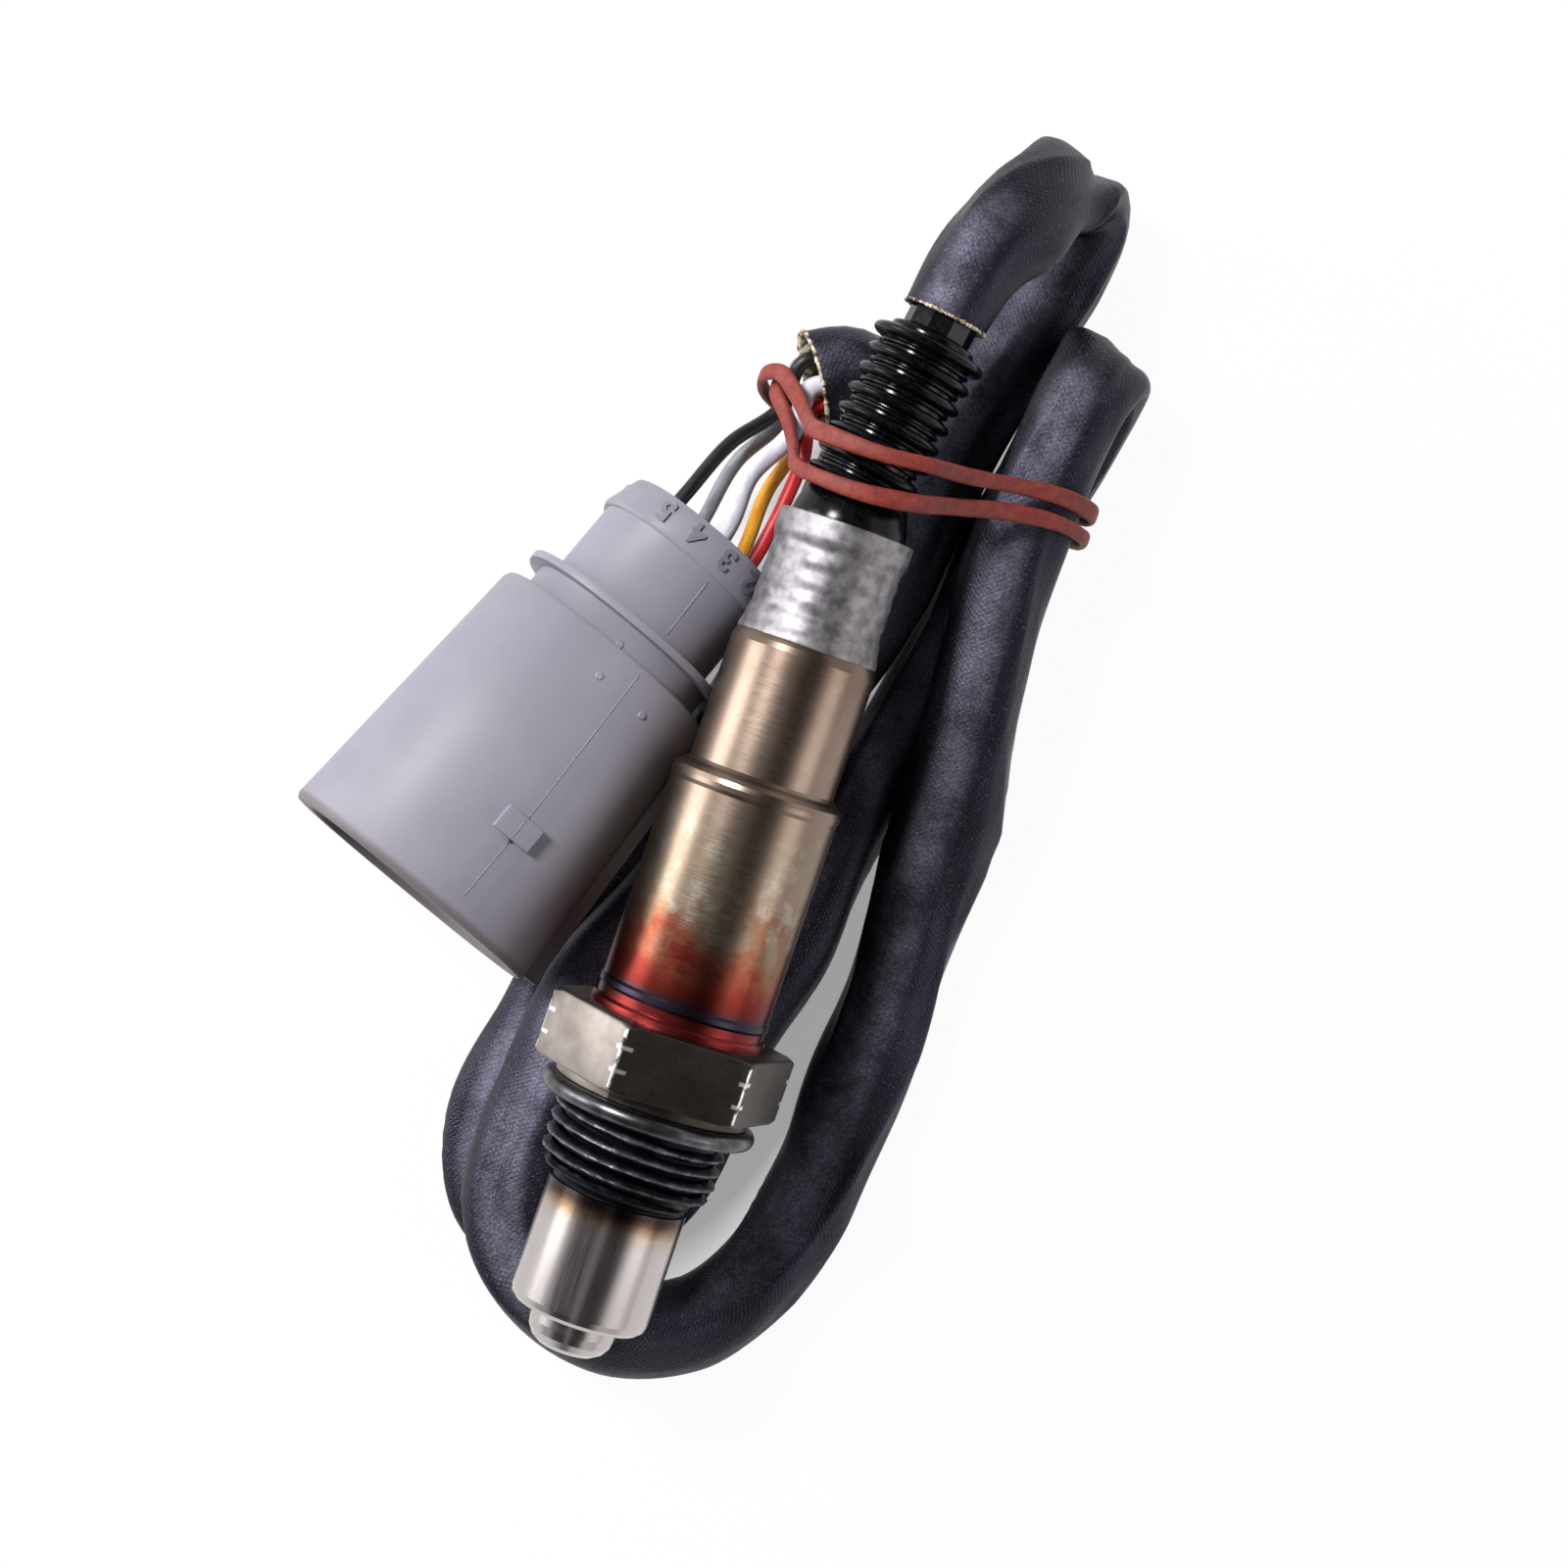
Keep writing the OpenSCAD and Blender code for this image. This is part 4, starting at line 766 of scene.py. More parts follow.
def pastedThread(look):
    # Rolled thread smeared with dark blue-grey high-temperature paste, paler on the crests where it is worn
    # thin, with a painted highlight on them too
    material, add, shader = newMaterial("thread with assembly paste", metallic=0.55, roughness=0.42)
    where = add("TexCoord").outputs["Object"]
    smear = add("TexNoise", {
        "Vector": where, "Scale": 1 / (1.1 * mm), "Detail": 8.0, "Roughness": 0.7, "Distortion": 0.6})
    colour = setStops(add("ValToRGB", {"Fac": smear}), {
        0.35: "#08080b", 0.55: "#15161b", 0.68: look["coat"], 0.8: "#4a4d58"})
    level = add("VectorMath", (where, (1, 0, 1)), operation="MULTIPLY")
    radius = add("VectorMath", {0: level}, operation="LENGTH")
    # Paler crests: paste worn thin there, and a painted highlight
    crest = add("MapRange", {"Value": radius, "From Min": look["crests"][0], "From Max": look["crests"][1]})
    thin = add("MapRange", {
        "Value": smear, "From Min": 0.36, "From Max": 0.58, "To Min": 0.1, "To Max": 0.8})
    wornAndLitCrest = add("Math", (crest, thin), operation="MULTIPLY")
    shown = add("Mix", {0: wornAndLitCrest, 6: colour, 7: srgb(look["paleCrestAndHighlight"])}, data_type="RGBA")
    lumps = add("Bump", {"Height": smear, "Strength": 0.6, "Distance": 0.12 * mm})
    gloss = add("MapRange", {
        "Value": smear, "From Min": 0.3, "From Max": 0.7, "To Min": 0.55, "To Max": 0.28})
    feed(shader, {"Base Color": shown, "Normal": lumps, "Roughness": gloss})
    return material


barrelLook = {
    "brush": 0.16,  # mm between the fine marks that drawing leaves round the barrel
    "tints": {  # heat tint along the barrel, from its weld to its neck
        0.0: "#82302e", 0.04: "#702826", 0.055: "#30303e", 0.075: "#3a2c34", 0.09: "#64241f", 0.13: "#742e26",
        0.19: "#7f4836", 0.26: "#80624f", 0.33: "#8a7a68", 0.5: "#877869", 0.62: "#877669", 0.8: "#8d7b6e",
        1.0: "#7c6a5e"},
}


def tintedBarrelSteel(look):
    # Deep-drawn stainless sleeve, bronze from heat and red to violet at its weld, scuffed half way up
    material, add, shader = newMaterial("heat-tinted drawn stainless", metallic=1.0, roughness=0.3)
    where = add("TexCoord").outputs["Object"]
    height = add("SeparateXYZ", {0: where})
    foot, top = stations["barrelFoot"], stations["barrelTop"]
    place = add("MapRange", {"Value": height.outputs["Y"], "From Min": foot, "From Max": top})
    blotch = add("TexNoise", {"Vector": where, "Scale": 1 / (4.5 * mm), "Detail": 4.0, "Roughness": 0.6})
    shift = add("MapRange", {
        "Value": blotch, "From Min": 0.35, "From Max": 0.65, "To Min": -0.08, "To Max": 0.08})
    calm = add("MapRange", {"Value": place, "From Min": 0.1, "From Max": 0.2})
    moved = add("Math", (shift, calm, place), operation="MULTIPLY_ADD")
    tint = setStops(add("ValToRGB", {"Fac": moved}), look["tints"])
    scuff = add("TexNoise", {"Vector": where, "Scale": 1 / (2.2 * mm), "Detail": 5.0, "Roughness": 0.7})
    zone = add("MapRange", {"Value": place, "From Min": 0.62, "From Max": 0.4})
    low = add("MapRange", {"Value": place, "From Min": 0.22, "From Max": 0.3})
    seen = add("Math", (zone, low), operation="MULTIPLY")
    worn = add("MapRange", {"Value": scuff, "From Min": 0.5, "From Max": 0.64, "To Max": 0.5})
    amount = add("Math", (seen, worn), operation="MULTIPLY")
    colour = add("Mix", {0: amount, 6: tint, 7: srgb("#a8a29c")}, data_type="RGBA")
    drawn = add("Mapping", {"Vector": where, "Scale": (0.06, 1, 0.06)})
    brush = add("TexNoise", {"Vector": drawn, "Scale": 1 / (look["brush"] * mm), "Detail": 3.0})
    dull = add("MapRange", {"Value": brush, "To Min": 0.24, "To Max": 0.38})
    marks = add("Bump", {"Height": brush, "Strength": 0.12, "Distance": 0.02 * mm})
    feed(shader, {"Base Color": colour, "Roughness": dull, "Normal": marks})
    return material


def drawnTubeSteel():
    # Polished deep-drawn tube, browned by the weld at its top
    material, add, shader = newMaterial("polished drawn stainless", metallic=1.0, roughness=0.22)
    where = add("TexCoord").outputs["Object"]
    height = add("SeparateXYZ", {0: where})
    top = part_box("outer_protection_tube")[1].y
    blotch = add("TexNoise", {"Vector": where, "Scale": 1 / (2.5 * mm), "Detail": 3.0})
    wavy = add("Math", (blotch, 0.0016, height.outputs["Y"]), operation="MULTIPLY_ADD")
    place = add("MapRange", {"Value": wavy, "From Min": top - 3.2 * mm, "From Max": top + 0.4 * mm})
    tint = setStops(add("ValToRGB", {"Fac": place}), {
        0.0: "#bfb8b6", 0.4: "#b5a99e", 0.62: "#927a64", 0.8: "#60493e", 0.95: "#3a322e"})
    drawn = add("Mapping", {"Vector": where, "Scale": (1, 0.05, 1)})
    brush = add("TexNoise", {"Vector": drawn, "Scale": 1 / (0.25 * mm), "Detail": 2.0})
    dull = add("MapRange", {"Value": brush, "To Min": 0.16, "To Max": 0.3})
    feed(shader, {"Base Color": tint, "Roughness": dull})
    return material


# Plastic, and the pieces inside

def mouldedPolyamide(name, pale, deep, toneShift=None):
    # Glass-filled polyamide from a mould: satin, slightly cloudy, with a fine spark-eroded grain
    material, add, shader = newMaterial(name, roughness=0.5)
    where = add("TexCoord").outputs["Object"]
    cloud = add("TexNoise", {"Vector": where, "Scale": 1 / (11 * mm), "Detail": 4.0})
    colour = setStops(add("ValToRGB", {"Fac": cloud}), {0.3: deep, 0.7: pale})
    if toneShift:
        # Painted shade: the mouth's rim and the side under the sensor darkened to a grey-brown, which on the
        # side also stands for the brown light that the barrel throws back
        for direction, start, end, amount in (((0, 0, 1), 1.1, 0.5, 0.75), ((1, 0, 0), 8.0, 14.5, 0.55)):
            axis = onPlug.to_3x3() @ Vector(direction)
            along = add("VectorMath", (where, tuple(axis)), operation="DOT_PRODUCT")
            base = axis @ onPlug.translation
            share = add("MapRange", {
                "Value": along, "From Min": base + start * mm, "From Max": base + end * mm,
                "To Max": amount})
            colour = add("Mix", {0: share, 6: colour, 7: srgb(toneShift)}, data_type="RGBA")
    grain = add("TexNoise", {"Vector": where, "Scale": 1 / (0.25 * mm), "Detail": 2.0})
    bump = add("Bump", {"Height": grain, "Strength": 0.15, "Distance": 0.02 * mm})
    feed(shader, {"Base Color": colour, "Normal": bump})
    return material


innerFinishes = {
    "fired ceramic": (["sensor_element", "lower_ceramic", "upper_ceramic", "contact_holder"],
                      "#eae5da", "#dcd5c6", 0.0, 0.45),
    "pressed talc": (["talc_packing"], "#efece4", "#e0dcd0", 0.0, 0.8),
    "spring steel": (["press_ring", "holder_spring"], "#b4b2b0", "#8e8c8a", 1.0, 0.35),
    "plated contacts": (
        ["contact_springs", "crimp_terminals", "contact_pins"], "#cdbb8c", "#b09a66", 1.0, 0.25),
    "inner lead insulation": (["inner_leads"], "#3a3a3c", "#2a2a2c", 0.0, 0.5),
    "brick-red lock plastic": (["terminal_lock"], "#b5452e", "#963824", 0.0, 0.45),
    "resistor lacquer": (["trim_resistor"], "#2f5f8f", "#244b74", 0.0, 0.25),
    "silicone seal": (["wire_seals", "blind_plug"], "#c96a3a", "#b2582c", 0.0, 0.5),
}


def dressInside():
    # Pieces inside: a true class of finish with a little variation
    for name, (nodes, pale, deep, metallic, roughness) in innerFinishes.items():
        dress(nodes, simpleMaterial(name, {
            "metallic": metallic, "roughness": roughness, "patch": 0.8, "detail": 3.0,
            "stops": {0.35: deep, 0.65: pale}}))


def softenedCopy(nodeName, width, angle=32, segments=3):
    # Copy of a CAD node with its edges rounded; its form stays
    source = frame["nodes"][nodeName].data
    shape = bmesh.new()
    shape.from_mesh(source)
    bmesh.ops.remove_doubles(shape, verts=shape.verts, dist=0.002 * mm)
    bmesh.ops.dissolve_limit(shape, angle_limit=math.radians(1.5), verts=shape.verts, edges=shape.edges)
    edges = [e for e in shape.edges if len(e.link_faces) == 2 and e.calc_face_angle(0) > math.radians(angle)]
    bmesh.ops.bevel(shape, geom=edges, offset=width, segments=segments, profile=0.5, affect="EDGES",
                    clamp_overlap=True, material=1)
    mesh = bpy.data.meshes.new(nodeName)
    shape.to_mesh(mesh)
    shape.free()
    return mesh


# Hexagon, thread and gasket

threadSizes = {
    "Root radius": 8.05 * mm,
    "Pitch": 1.5 * mm,
    "Depth": 0.93 * mm,
    "Root width": 1.2 * mm,
    "Crest width": 0.16 * mm,
    "Length": 7.1 * mm,
    "Lumps": 0.12 * mm,
}
ridgeShift = -0.42 * mm  # sets the ridge's wide foot on the shank
cutBack = {"below": 0.05 * mm, "beyond": 8.2 * mm}  # this much of the shank shrinks to the thread's root
threadTaper = {"from": -5.2 * mm, "to": -7.7 * mm, "share": 0.15}  # the last turns run out at the weld


def taperEnd(mesh, look):
    for vertex in mesh.vertices:
        down = min(max((look["from"] - vertex.co.y) / (look["from"] - look["to"]), 0), 1)
        vertex.co.x *= 1 - look["share"] * down ** 1.5
        vertex.co.z *= 1 - look["share"] * down ** 1.5


def threadTree(sizes):
    # A flat-topped ridge wound round the shank, with lumps where the paste sits
    tree, add, given = startGeometry("threadTurns", sizes)
    turns = add("Math", (given["Length"], given["Pitch"]), operation="DIVIDE")
    spiral = add("GeometryNodeCurveSpiral", {
        "Resolution": 120, "Rotations": turns, "Start Radius": given["Root radius"],
        "End Radius": given["Root radius"], "Height": given["Length"]})
    upright = add("GeometryNodeSetCurveNormal", {"Curve": spiral}, mode="Z_UP")
    place = add("GeometryNodeSplineParameter")
    fades = [add("MapRange", {"Value": place, "From Min": end, "From Max": near, "To Min": 0.1})
             for end, near in ((0.0, 0.04), (1.0, 0.96))]
    scale = add("Math", fades, operation="MULTIPLY")
    section = add("GeometryNodeCurvePrimitiveQuadrilateral", {
        "Bottom Width": given["Root width"], "Top Width": given["Crest width"], "Height": given["Depth"],
        "Offset": 0.0}, mode="TRAPEZOID")
    turned = add("GeometryNodeTransform", {
        "Geometry": section, "Rotation": (0, 0, math.radians(90)), "Translation": (ridgeShift, 0, 0)})
    fine = add("GeometryNodeResampleCurve", {"Curve": turned, "Count": 16})
    ridge = add("GeometryNodeCurveToMesh", {
        "Curve": upright, "Profile Curve": fine, "Scale": scale, "Fill Caps": True})
    where = add("GeometryNodeInputPosition")
    noise = add("TexNoise", {"Vector": where, "Scale": 1 / (1.3 * mm), "Detail": 2.0})
    centred = add("Math", (noise, 0.5), operation="SUBTRACT")
    push = add("Math", (centred, given["Lumps"]), operation="MULTIPLY")
    push = add("Math", (push, 4.0), operation="MULTIPLY")
    normal = add("GeometryNodeInputNormal")
    offset = add("VectorMath", {0: normal, "Scale": push}, operation="SCALE")
    lumpy = add("GeometryNodeSetPosition", {"Geometry": ridge, "Offset": offset})
    return tree, lumpy


def makeHexBody():
    mesh = softenedCopy("hex_body", 0.2 * mm)
    root = threadSizes["Root radius"]
    for vertex in mesh.vertices:
        radius = math.hypot(vertex.co.x, vertex.co.z)
        if vertex.co.y < cutBack["below"] and radius > cutBack["beyond"]:
            vertex.co.x *= root / radius
            vertex.co.z *= root / radius
    steel = hexagonSteel(metalLooks, max(mesh.vertices, key=lambda vertex: vertex.co.z).co.x)
    mesh.materials.append(steel)
    mesh.materials.append(simpleMaterial("worn steel edge"))
    collarTop = 1.5 * mm
    for face in mesh.polygons:
        if face.center.y < collarTop or abs(face.normal.y) > 0.15:
            face.material_index = 0
    taperEnd(mesh, threadTaper)
    shadeByAngle(mesh, 30)
    addPiece("hexBody", mesh, ["hex_body"])
    tree, turns = threadTree(threadSizes)
    place = onAxis @ Matrix.Translation((0, 0, threadTaper["to"]))
    ridge = runGeometry(tree, turns, threadSizes, pastedThread(metalLooks), place)
    taperEnd(ridge, threadTaper)
    addPiece("threadTurns", ridge)
    dress(["gasket_ring"], simpleMaterial("folded gasket steel"))
    print("hexagon and thread done", len(ridge.polygons))


# Crimp sleeve

crimpSizes = {
    "Radius": 6.88 * mm,
    "Length": 12.5 * mm,
    "Flats": 13,
    "Rows": 4,
    "Row start": 2.3 * mm,
    "Row pitch": 1.95 * mm,
    "Row shift": 0.34,
    "Press": 0.13 * mm,
    "Neck": 0.22 * mm,
    "Dents": 0.34 * mm,
    "Flare": 0.3 * mm,
}
crimpWall = 0.45 * mm


def crimpTree(sizes):
    # Thin tube with a flared foot and a plain top band, its wall pressed softly into staggered rows of flats
    tree, add, given = startGeometry("crimpSleeve", sizes)
    tube = add("GeometryNodeMeshCylinder", {
        "Vertices": 234, "Side Segments": 96, "Radius": given["Radius"], "Depth": given["Length"]},
        fill_type="NONE")
    half = add("Math", (given["Length"], 0.5), operation="MULTIPLY")
    where = add("GeometryNodeInputPosition")
    axes = add("SeparateXYZ", {0: where})
    height = add("Math", (axes.outputs["Z"], half), operation="ADD")
    risen = add("Math", (height, given["Row start"]), operation="SUBTRACT")
    rows = add("Math", (risen, given["Row pitch"]), operation="DIVIDE")
    turns = add("Math", (rows, 2 * math.pi), operation="MULTIPLY")
    wave = add("Math", {0: turns}, operation="COSINE")
    dip = add("Math", (wave, -0.5, 0.5), operation="MULTIPLY_ADD")
    left = add("Math", (given["Rows"], rows), operation="SUBTRACT")
    inside = add("Math", (rows, left), operation="MINIMUM")
    window = add("MapRange", {
        "Value": inside, "From Min": -0.25, "From Max": 0.35}, interpolation_type="SMOOTHSTEP")
    angle = add("Math", (axes.outputs["Y"], axes.outputs["X"]), operation="ARCTAN2")
    step = add("Math", (2 * math.pi, given["Flats"]), operation="DIVIDE")
    phase = add("Math", (angle, step), operation="DIVIDE")
    row = add("Math", {0: rows}, operation="FLOOR")
    shifted = add("Math", (row, given["Row shift"], phase), operation="MULTIPLY_ADD")
    across = add("Math", (shifted, 1.0), operation="PINGPONG")
    flat = add("MapRange", {"Value": across, "To Min": 0.35}, interpolation_type="SMOOTHSTEP")
    noise = add("TexNoise", {"Vector": where, "Scale": 1 / (3.6 * mm), "Detail": 1.0})
    dent = add("Math", (noise, 0.5), operation="SUBTRACT")
    dents = add("Math", (dent, given["Dents"]), operation="MULTIPLY")
    pressed = add("Math", (dip, flat), operation="MULTIPLY")
    deep = add("Math", (pressed, given["Press"], given["Neck"]), operation="MULTIPLY_ADD")
    uneven = add("Math", (deep, dents), operation="ADD")
    inward = add("Math", (uneven, window), operation="MULTIPLY")
    flareOut = add("MapRange", {
        "Value": height, "From Min": 1.8 * mm, "From Max": 0.2 * mm, "To Max": given["Flare"]},
        interpolation_type="SMOOTHSTEP")
    total = add("Math", (flareOut, inward), operation="SUBTRACT")
    flatten = add("VectorMath", (where, (1, 1, 0)), operation="MULTIPLY")
    outer = add("VectorMath", {0: flatten}, operation="NORMALIZE")
    offset = add("VectorMath", {0: outer, "Scale": total}, operation="SCALE")
    shaped = add("GeometryNodeSetPosition", {"Geometry": tube, "Offset": offset})
    return tree, shaped


def makeCrimpSleeve(sizes, material):
    tree, shape = crimpTree(sizes)
    place = onAxis @ Matrix.Translation((0, 0, stations["sleeveTop"] - sizes["Length"] / 2))
    mesh = runGeometry(tree, shape, sizes, material, place, 60)
    piece = addPiece("crimpSleeve", mesh, ["crimp_sleeve"])
    wall = piece.modifiers.new("wall", "SOLIDIFY")
    wall.thickness = crimpWall
    wall.offset = -1
    print("crimp sleeve done")


# Boot: foot and taper, moulded folds, cuff

bootSizes = {
    "Folds": 8,
    "Pitch": 2.15 * mm,
    "Root radius": 4.4 * mm,
    "Large depth": 1.1 * mm,
    "Small depth": 0.42 * mm,
    "Last share": 1.07,
    "Tilt": 0.02,
}
bootPlace = {
    "lean": 8,  # degrees to the side
    "shift": -0.4 * mm,
    "taper": 3.5 * mm,  # from the plug in the crimp sleeve to the first fold
    "lastFold": 1.2 * mm,
    "cuffRadius": 3.5 * mm,
    "cuffLength": 9 * mm,
    "plugRadius": 5.9 * mm,
    "cuffFacets": 10,
}


def foldTree(sizes):
    # Large and small rings by turns along the boot, each leaning by a hair; the last large one is wider
    tree, add, given = startGeometry("bootFolds", sizes)
    step = add("CombineXYZ", {"Z": given["Pitch"]})
    ring = add("GeometryNodeCurvePrimitiveCircle", {"Resolution": 96, "Radius": given["Root radius"]})
    section = add("GeometryNodeCurvePrimitiveCircle", {"Resolution": 24, "Radius": 1.0})
    back = add("Math", (given["Tilt"], -1.0), operation="MULTIPLY")
    index = add("GeometryNodeInputIndex")
    rows = []
    for depth, share, start, fewer in (("Large depth", 0.29, 0.275, 0), ("Small depth", 0.14, 0.8, 1)):
        low = add("VectorMath", {0: step, "Scale": start}, operation="SCALE")
        count = add("Math", (given["Folds"], fewer), operation="SUBTRACT")
        line = add("GeometryNodeMeshLine", {"Count": count, "Start Location": low, "Offset": step})
        half = add("Math", (given["Pitch"], share), operation="MULTIPLY")
        squeeze = add("CombineXYZ", {"X": given[depth], "Y": half, "Z": 1.0})
        oval = add("GeometryNodeTransform", {"Geometry": section, "Scale": squeeze})
        torus = add("GeometryNodeCurveToMesh", {"Curve": ring, "Profile Curve": oval})
        wobble = add("FunctionNodeRandomValue", {
            2: back, 3: given["Tilt"], "Seed": 5 + fewer}, data_type="FLOAT")
        lean = add("CombineXYZ", {"X": wobble, "Y": wobble})
        turn = add("FunctionNodeEulerToRotation", {0: lean})
        lastOne = add("Math", (count, 1.5), operation="SUBTRACT")
        last = add("Math", (index, lastOne), operation="GREATER_THAN")
        wider = add("MapRange", {
            "Value": last, "To Min": 1.0, "To Max": 1.0 if fewer else given["Last share"]})
        size = add("CombineXYZ", {"X": wider, "Y": wider, "Z": 1.0})
        rows.append(add("GeometryNodeInstanceOnPoints", {
            "Points": line, "Instance": torus, "Rotation": turn, "Scale": size}))
    folds = add("GeometryNodeJoinGeometry")
    for row in rows:
        feed(folds, {0: row})
    return tree, folds


def makeBoot(sizes, look, material):
    top = stations["sleeveTop"]
    bootFoot = top + look["taper"]
    onBoot = (Matrix.Translation((look["shift"], bootFoot, 0))
              @ Matrix.Rotation(math.radians(-look["lean"]), 4, "Z") @ onAxis)
    tree, folds = foldTree(sizes)
    rings = runGeometry(tree, folds, sizes, material, onBoot)
    root, plug, cuff = sizes["Root radius"], look["plugRadius"], look["cuffRadius"]
    foldsTop = (sizes["Folds"] - 1) * sizes["Pitch"] + look["lastFold"]
    foot = latheMesh("foot", [
        (0.002, top - 0.9 * mm, 0), (plug, top - 0.9 * mm, 0), (plug, top + 0.6 * mm, 0.8 * mm),
        (root + 0.7 * mm, bootFoot - 0.3 * mm, 0.8 * mm), (root, bootFoot + 0.2 * mm, 0),
        (0.002, bootFoot + 0.2 * mm, 0)], onAxis)
    core = latheMesh("core", [
        (0.0025, -1 * mm, 0), (root, -1 * mm, 0), (root, foldsTop + 0.6 * mm, 0.3 * mm),
        (cuff - 0.2 * mm, foldsTop + 1.0 * mm, 0), (0.0025, foldsTop + 1.0 * mm, 0)], onBoot)
    collar = latheMesh("cuff", [
        (0.0025, foldsTop + 0.4 * mm, 0), (cuff, foldsTop + 0.4 * mm, 0.2 * mm),
        (cuff, foldsTop + look["cuffLength"], 0.3 * mm), (0.0025, foldsTop + look["cuffLength"], 0)],
        onBoot, segments=look["cuffFacets"])
    for mesh in (foot, core, collar):
        mesh.materials.append(material)
    whole = mergedMesh("bellowsBoot", [rings, foot, core, collar])
    shadeByAngle(whole, 25)
    addPiece("bellowsBoot", whole, ["bellows_boot"])
    print("boot done", len(whole.polygons))


# Connector

connectorLook = {
    "pale": "#8f8c98",
    "deep": "#83808c",
    "toneShift": "#5f5452",  # painted shade on the mouth's rim and on the side under the sensor, brown as the barrel's reflected light
    "relief": "#7a7781",  # numerals, a little darker than the housing
    "edge": 0.28 * mm,
    "numerals": {"5": -4.1, "4": -0.1, "3": 3.7, "2": 6.9},  # place across the end flange, in mm
    "numeralHeight": 2.35 * mm,
    "fontShare": 1.35,  # font size for the height of a digit
    "strokes": {"extrude": 0.24 * mm, "offset": 0.06 * mm, "bevel_depth": 0.04 * mm},
    "numeralsAt": 44.9 * mm,  # from the mouth
    # Across and from the mouth, in mm
    "seams": [[(5.2, 2.4), (5.2, 9.4), (4.5, 30)], [(3.9, 35.2), (3.7, 41.9)]],
    "seamWidth": 0.22 * mm,
    "marks": [(1.6, 27.3), (7.2, 27.1), (1.0, 31.3)],
    "markSize": 0.45 * mm,
    "markRise": 0.16 * mm,
}


def topFinder(meshes):
    # Gives the point on the connector's upper side for a place across it and a distance from its mouth
    trees = []
    for mesh in meshes:
        faces = [tuple(face.vertices) for face in mesh.polygons]
        trees.append(BVHTree.FromPolygons([v.co for v in mesh.vertices], faces))
    down = onPlug.to_3x3() @ Vector((0, 1, 0))

    def find(x, s, lift):
        start = onPlug @ Vector((x, -0.03, s))  # well above the connector
        hits = [hit for hit in (tree.ray_cast(start, down) for tree in trees) if hit[0]]
        place, normal = min(hits, key=lambda hit: hit[3])[:2]
        return place - lift * down, normal

    return find


def makeSeam(points, find, width):
    # Thin line of flash where the mould's halves met
    section = ((-0.5, -0.05), (-0.25, 0.06), (0.25, 0.06), (0.5, -0.05))  # share of the width, lift in mm
    line = smoothLine(np.array(points) * mm, 0.4 * mm)
    return skinMesh("seam", [
        [find(x + side * width, s, lift * mm)[0] for side, lift in section] for x, s in line])


def makeNumeral(digit, x, find, look):
    curve = bpy.data.curves.new("numeral" + digit, "FONT")
    curve.body = digit  # plain pin number
    curve.size = look["numeralHeight"] * look["fontShare"]
    for setting, value in look["strokes"].items():
        setattr(curve, setting, value)
    curve.align_x = "CENTER"
    curve.align_y = "CENTER"
    mesh = bakedMesh(addObject("numeral", curve))
    for vertex in mesh.vertices:
        across, along, lift = vertex.co
        # The numerals' feet point to the wires
        vertex.co = find(x * mm - across, look["numeralsAt"] - along, lift)[0]
    return mesh


def makeConnector(look):
    plastic = mouldedPolyamide("lavender-grey polyamide", look["pale"], look["deep"], look["toneShift"])
    shells = []
    for node in ("connector_housing", "rear_cap"):
        mesh = softenedCopy(node, look["edge"])
        mesh.materials.append(plastic)
        mesh.materials.append(plastic)  # for the softened edges
        shadeByAngle(mesh, 30)
        shells.append(mesh)
        addPiece("housing" if node == "connector_housing" else "rearCap", mesh, [node])
    find = topFinder(shells)
    details = [makeSeam(points, find, look["seamWidth"]) for points in look["seams"]]
    for x, s in look["marks"]:
        place, normal = find(x * mm, s * mm, 0)
        size, rise = look["markSize"], look["markRise"]
        upright = Matrix.Translation(place) @ normal.to_track_quat("Z", "Y").to_matrix().to_4x4()
        dot = latheMesh("mark", [
            (0.00001, 0, 0), (size, 0, 0), (size * 0.8, rise, rise / 2), (0.00001, rise, 0)],
                        upright, segments=24)
        details.append(dot)
    for digit, x in look["numerals"].items():
        details.append(makeNumeral(digit, x, find, look))
    darker = mouldedPolyamide("dusty relief polyamide", look["relief"], look["relief"])
    for mesh in details:
        mesh.materials.clear()
        mesh.materials.append(plastic if mesh.name.startswith(("seam", "mark")) else darker)
    addPiece("mouldedDetails", mergedMesh("mouldedDetails", details))
    dark = mouldedPolyamide("dark carrier polyamide", "#3a3a40", "#2c2c31")
    dress(["pin_carrier"], dark)
    print("connector done")


rubber = simpleMaterial("moulded black rubber")
makeHexBody()
dress(["barrel_sleeve"], tintedBarrelSteel(barrelLook))
dress(["outer_protection_tube", "inner_protection_tube"], drawnTubeSteel())
makeCrimpSleeve(crimpSizes, simpleMaterial("crimped bright stainless"))
dress(["grommet"], rubber)
makeBoot(bootSizes, bootPlace, rubber)
makeConnector(connectorLook)
dressInside()


# Floor and studio light

studio = {
    "floorTone": "#f4f4f5",
    "floorGlow": {"inside": 0.32, "outside": 0.95},  # share of plain white that the camera sees in the floor
    "loops": {"centre": (0.004, 0.033), "reach": (0.0155, 0.055)},  # floor that the lead's loops shut in
    "brightness": 1.0,
    "panels": {  # light round the sensor's axis: 0 and 1 look down, 0.5 looks straight up
        0.0: "#7c7c7e", 0.16: "#9c9c9e", 0.21: "#f4f4f6", 0.26: "#f4f4f6", 0.285: "#b8b8ba", 0.345: "#b8b8ba",
        0.375: "#3c3c44", 0.47: "#34343a", 0.484: "#8c8c90", 0.502: "#8c8c90", 0.516: "#343236",
        0.605: "#38363a", 0.628: "#e0dcdc", 0.78: "#d0cccc", 0.83: "#4a4a4e", 1.0: "#5a5a5c"},
}


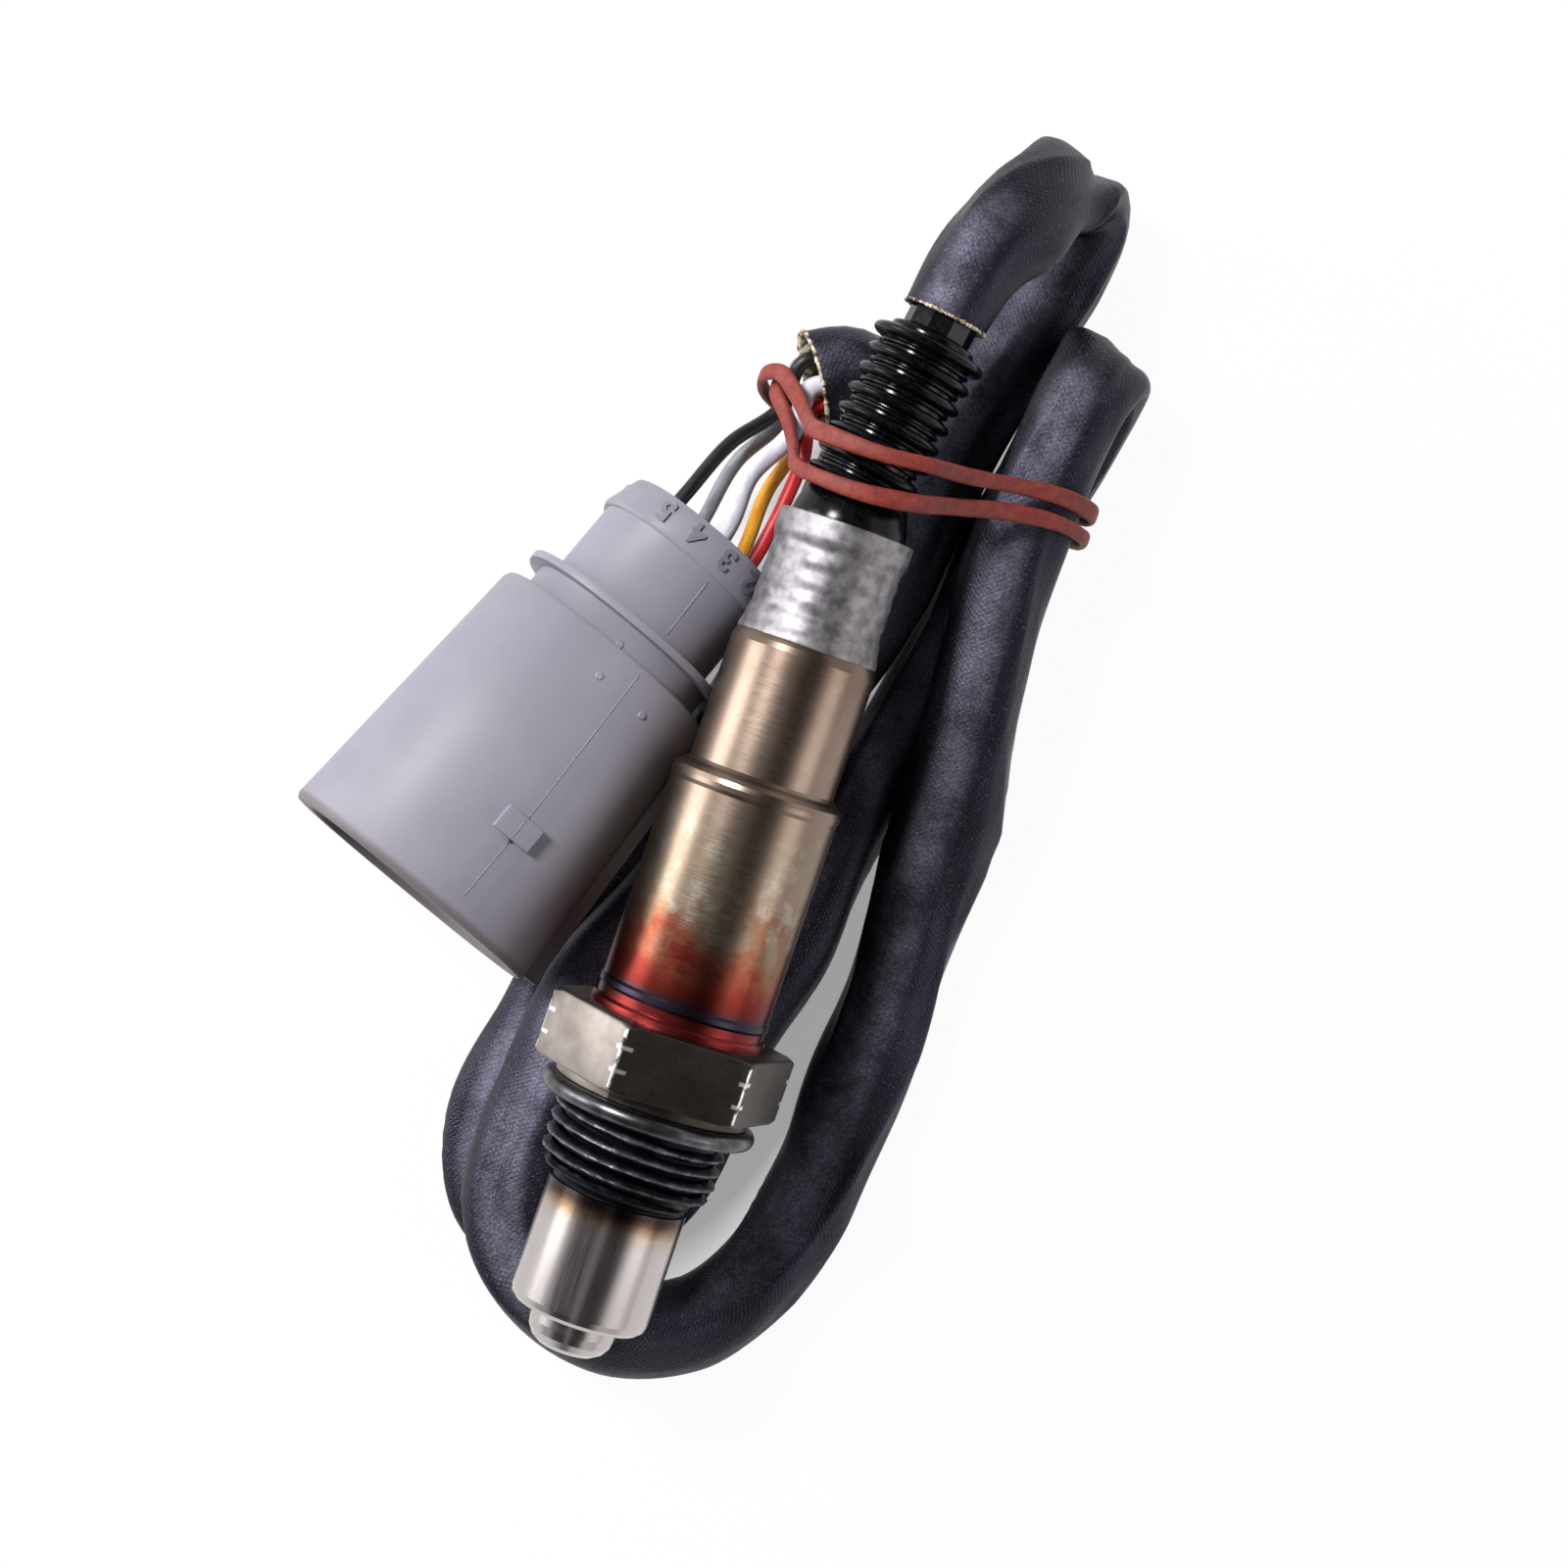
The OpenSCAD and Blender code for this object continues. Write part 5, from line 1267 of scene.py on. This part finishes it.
def makeFloor(look):
    half = 3.0  # of the table's width, in metres
    z = stations["floor"]
    mesh = bpy.data.meshes.new("floor")
    mesh.from_pydata(
        [(-half, -half, z), (half, -half, z), (half, half, z), (-half, half, z)], [], [(0, 1, 2, 3)])
    addObject("floor", mesh)
    material, add, shader = newMaterial("white table", roughness=0.9)
    feed(shader, {"Base Color": srgb(look["floorTone"])})
    glow = add("Emission", {"Color": (1, 1, 1, 1), "Strength": 1.0})
    ray = add("LightPath")
    mirrored = add("Math", (ray.outputs["Is Glossy Ray"], ray.outputs["Is Transmission Ray"]),
                   operation="MAXIMUM")
    seen = add("Math", (ray.outputs["Is Camera Ray"], mirrored), operation="MAXIMUM")
    where = add("TexCoord").outputs["Object"]
    fromMiddle = add("VectorMath", (where, (*look["loops"]["centre"], z)), operation="SUBTRACT")
    scaled = add("VectorMath", (fromMiddle, (*look["loops"]["reach"], 1)), operation="DIVIDE")
    away = add("VectorMath", {0: scaled}, operation="LENGTH")
    glowing = add("MapRange", {
        "Value": away, "From Min": 0.9, "From Max": 1.15, "To Min": look["floorGlow"]["inside"],
        "To Max": look["floorGlow"]["outside"]})
    share = add("Math", (seen, glowing), operation="MULTIPLY")
    mixed = add("MixShader", (share, shader, glow))
    feed(material.node_tree.nodes["Material Output"], {"Surface": mixed})
    mesh.materials.append(material)


def makeWorld(look):
    world = bpy.data.worlds.new("studio")
    world.use_nodes = True
    scene.world = world
    add = partial(addNode, world.node_tree)
    direction = add("TexCoord")
    axes = add("SeparateXYZ", {0: direction.outputs["Generated"]})
    angle = add("Math", (axes.outputs["X"], axes.outputs["Z"]), operation="ARCTAN2")
    place = add("MapRange", {"Value": angle, "From Min": -math.pi, "From Max": math.pi})
    panels = setStops(add("ValToRGB", {"Fac": place}), look["panels"])
    ray = add("LightPath")
    colour = add("Mix", {0: ray.outputs["Is Camera Ray"], 6: panels, 7: (1, 1, 1, 1)}, data_type="RGBA")
    feed(world.node_tree.nodes["Background"], {"Color": colour, "Strength": look["brightness"]})


lamps = {
    "keyLight": {"place": (-0.36, 0.22, 0.5), "size": 0.14, "watts": 4.6},
    "sideLight": {"place": (-0.6, 0.02, 0.16), "size": 0.3, "watts": 1.7},
    "fillLight": {"place": (0.6, 0.0, 0.3), "size": 0.3, "watts": 0.5},
}
lampAim = Vector((0, 0.035, -0.01))


def makeLamps():
    for name, look in lamps.items():
        data = bpy.data.lights.new(name, "AREA")
        data.size = look["size"]
        data.energy = look["watts"]
        lamp = addObject(name, data)
        place = Vector(look["place"])
        aim = lampAim - place
        lamp.matrix_world = Matrix.Translation(place) @ aim.to_track_quat("-Z", "Y").to_matrix().to_4x4()


makeFloor(studio)
makeWorld(studio)
makeLamps()
scene.view_settings.view_transform = "Standard"
print("studio done")
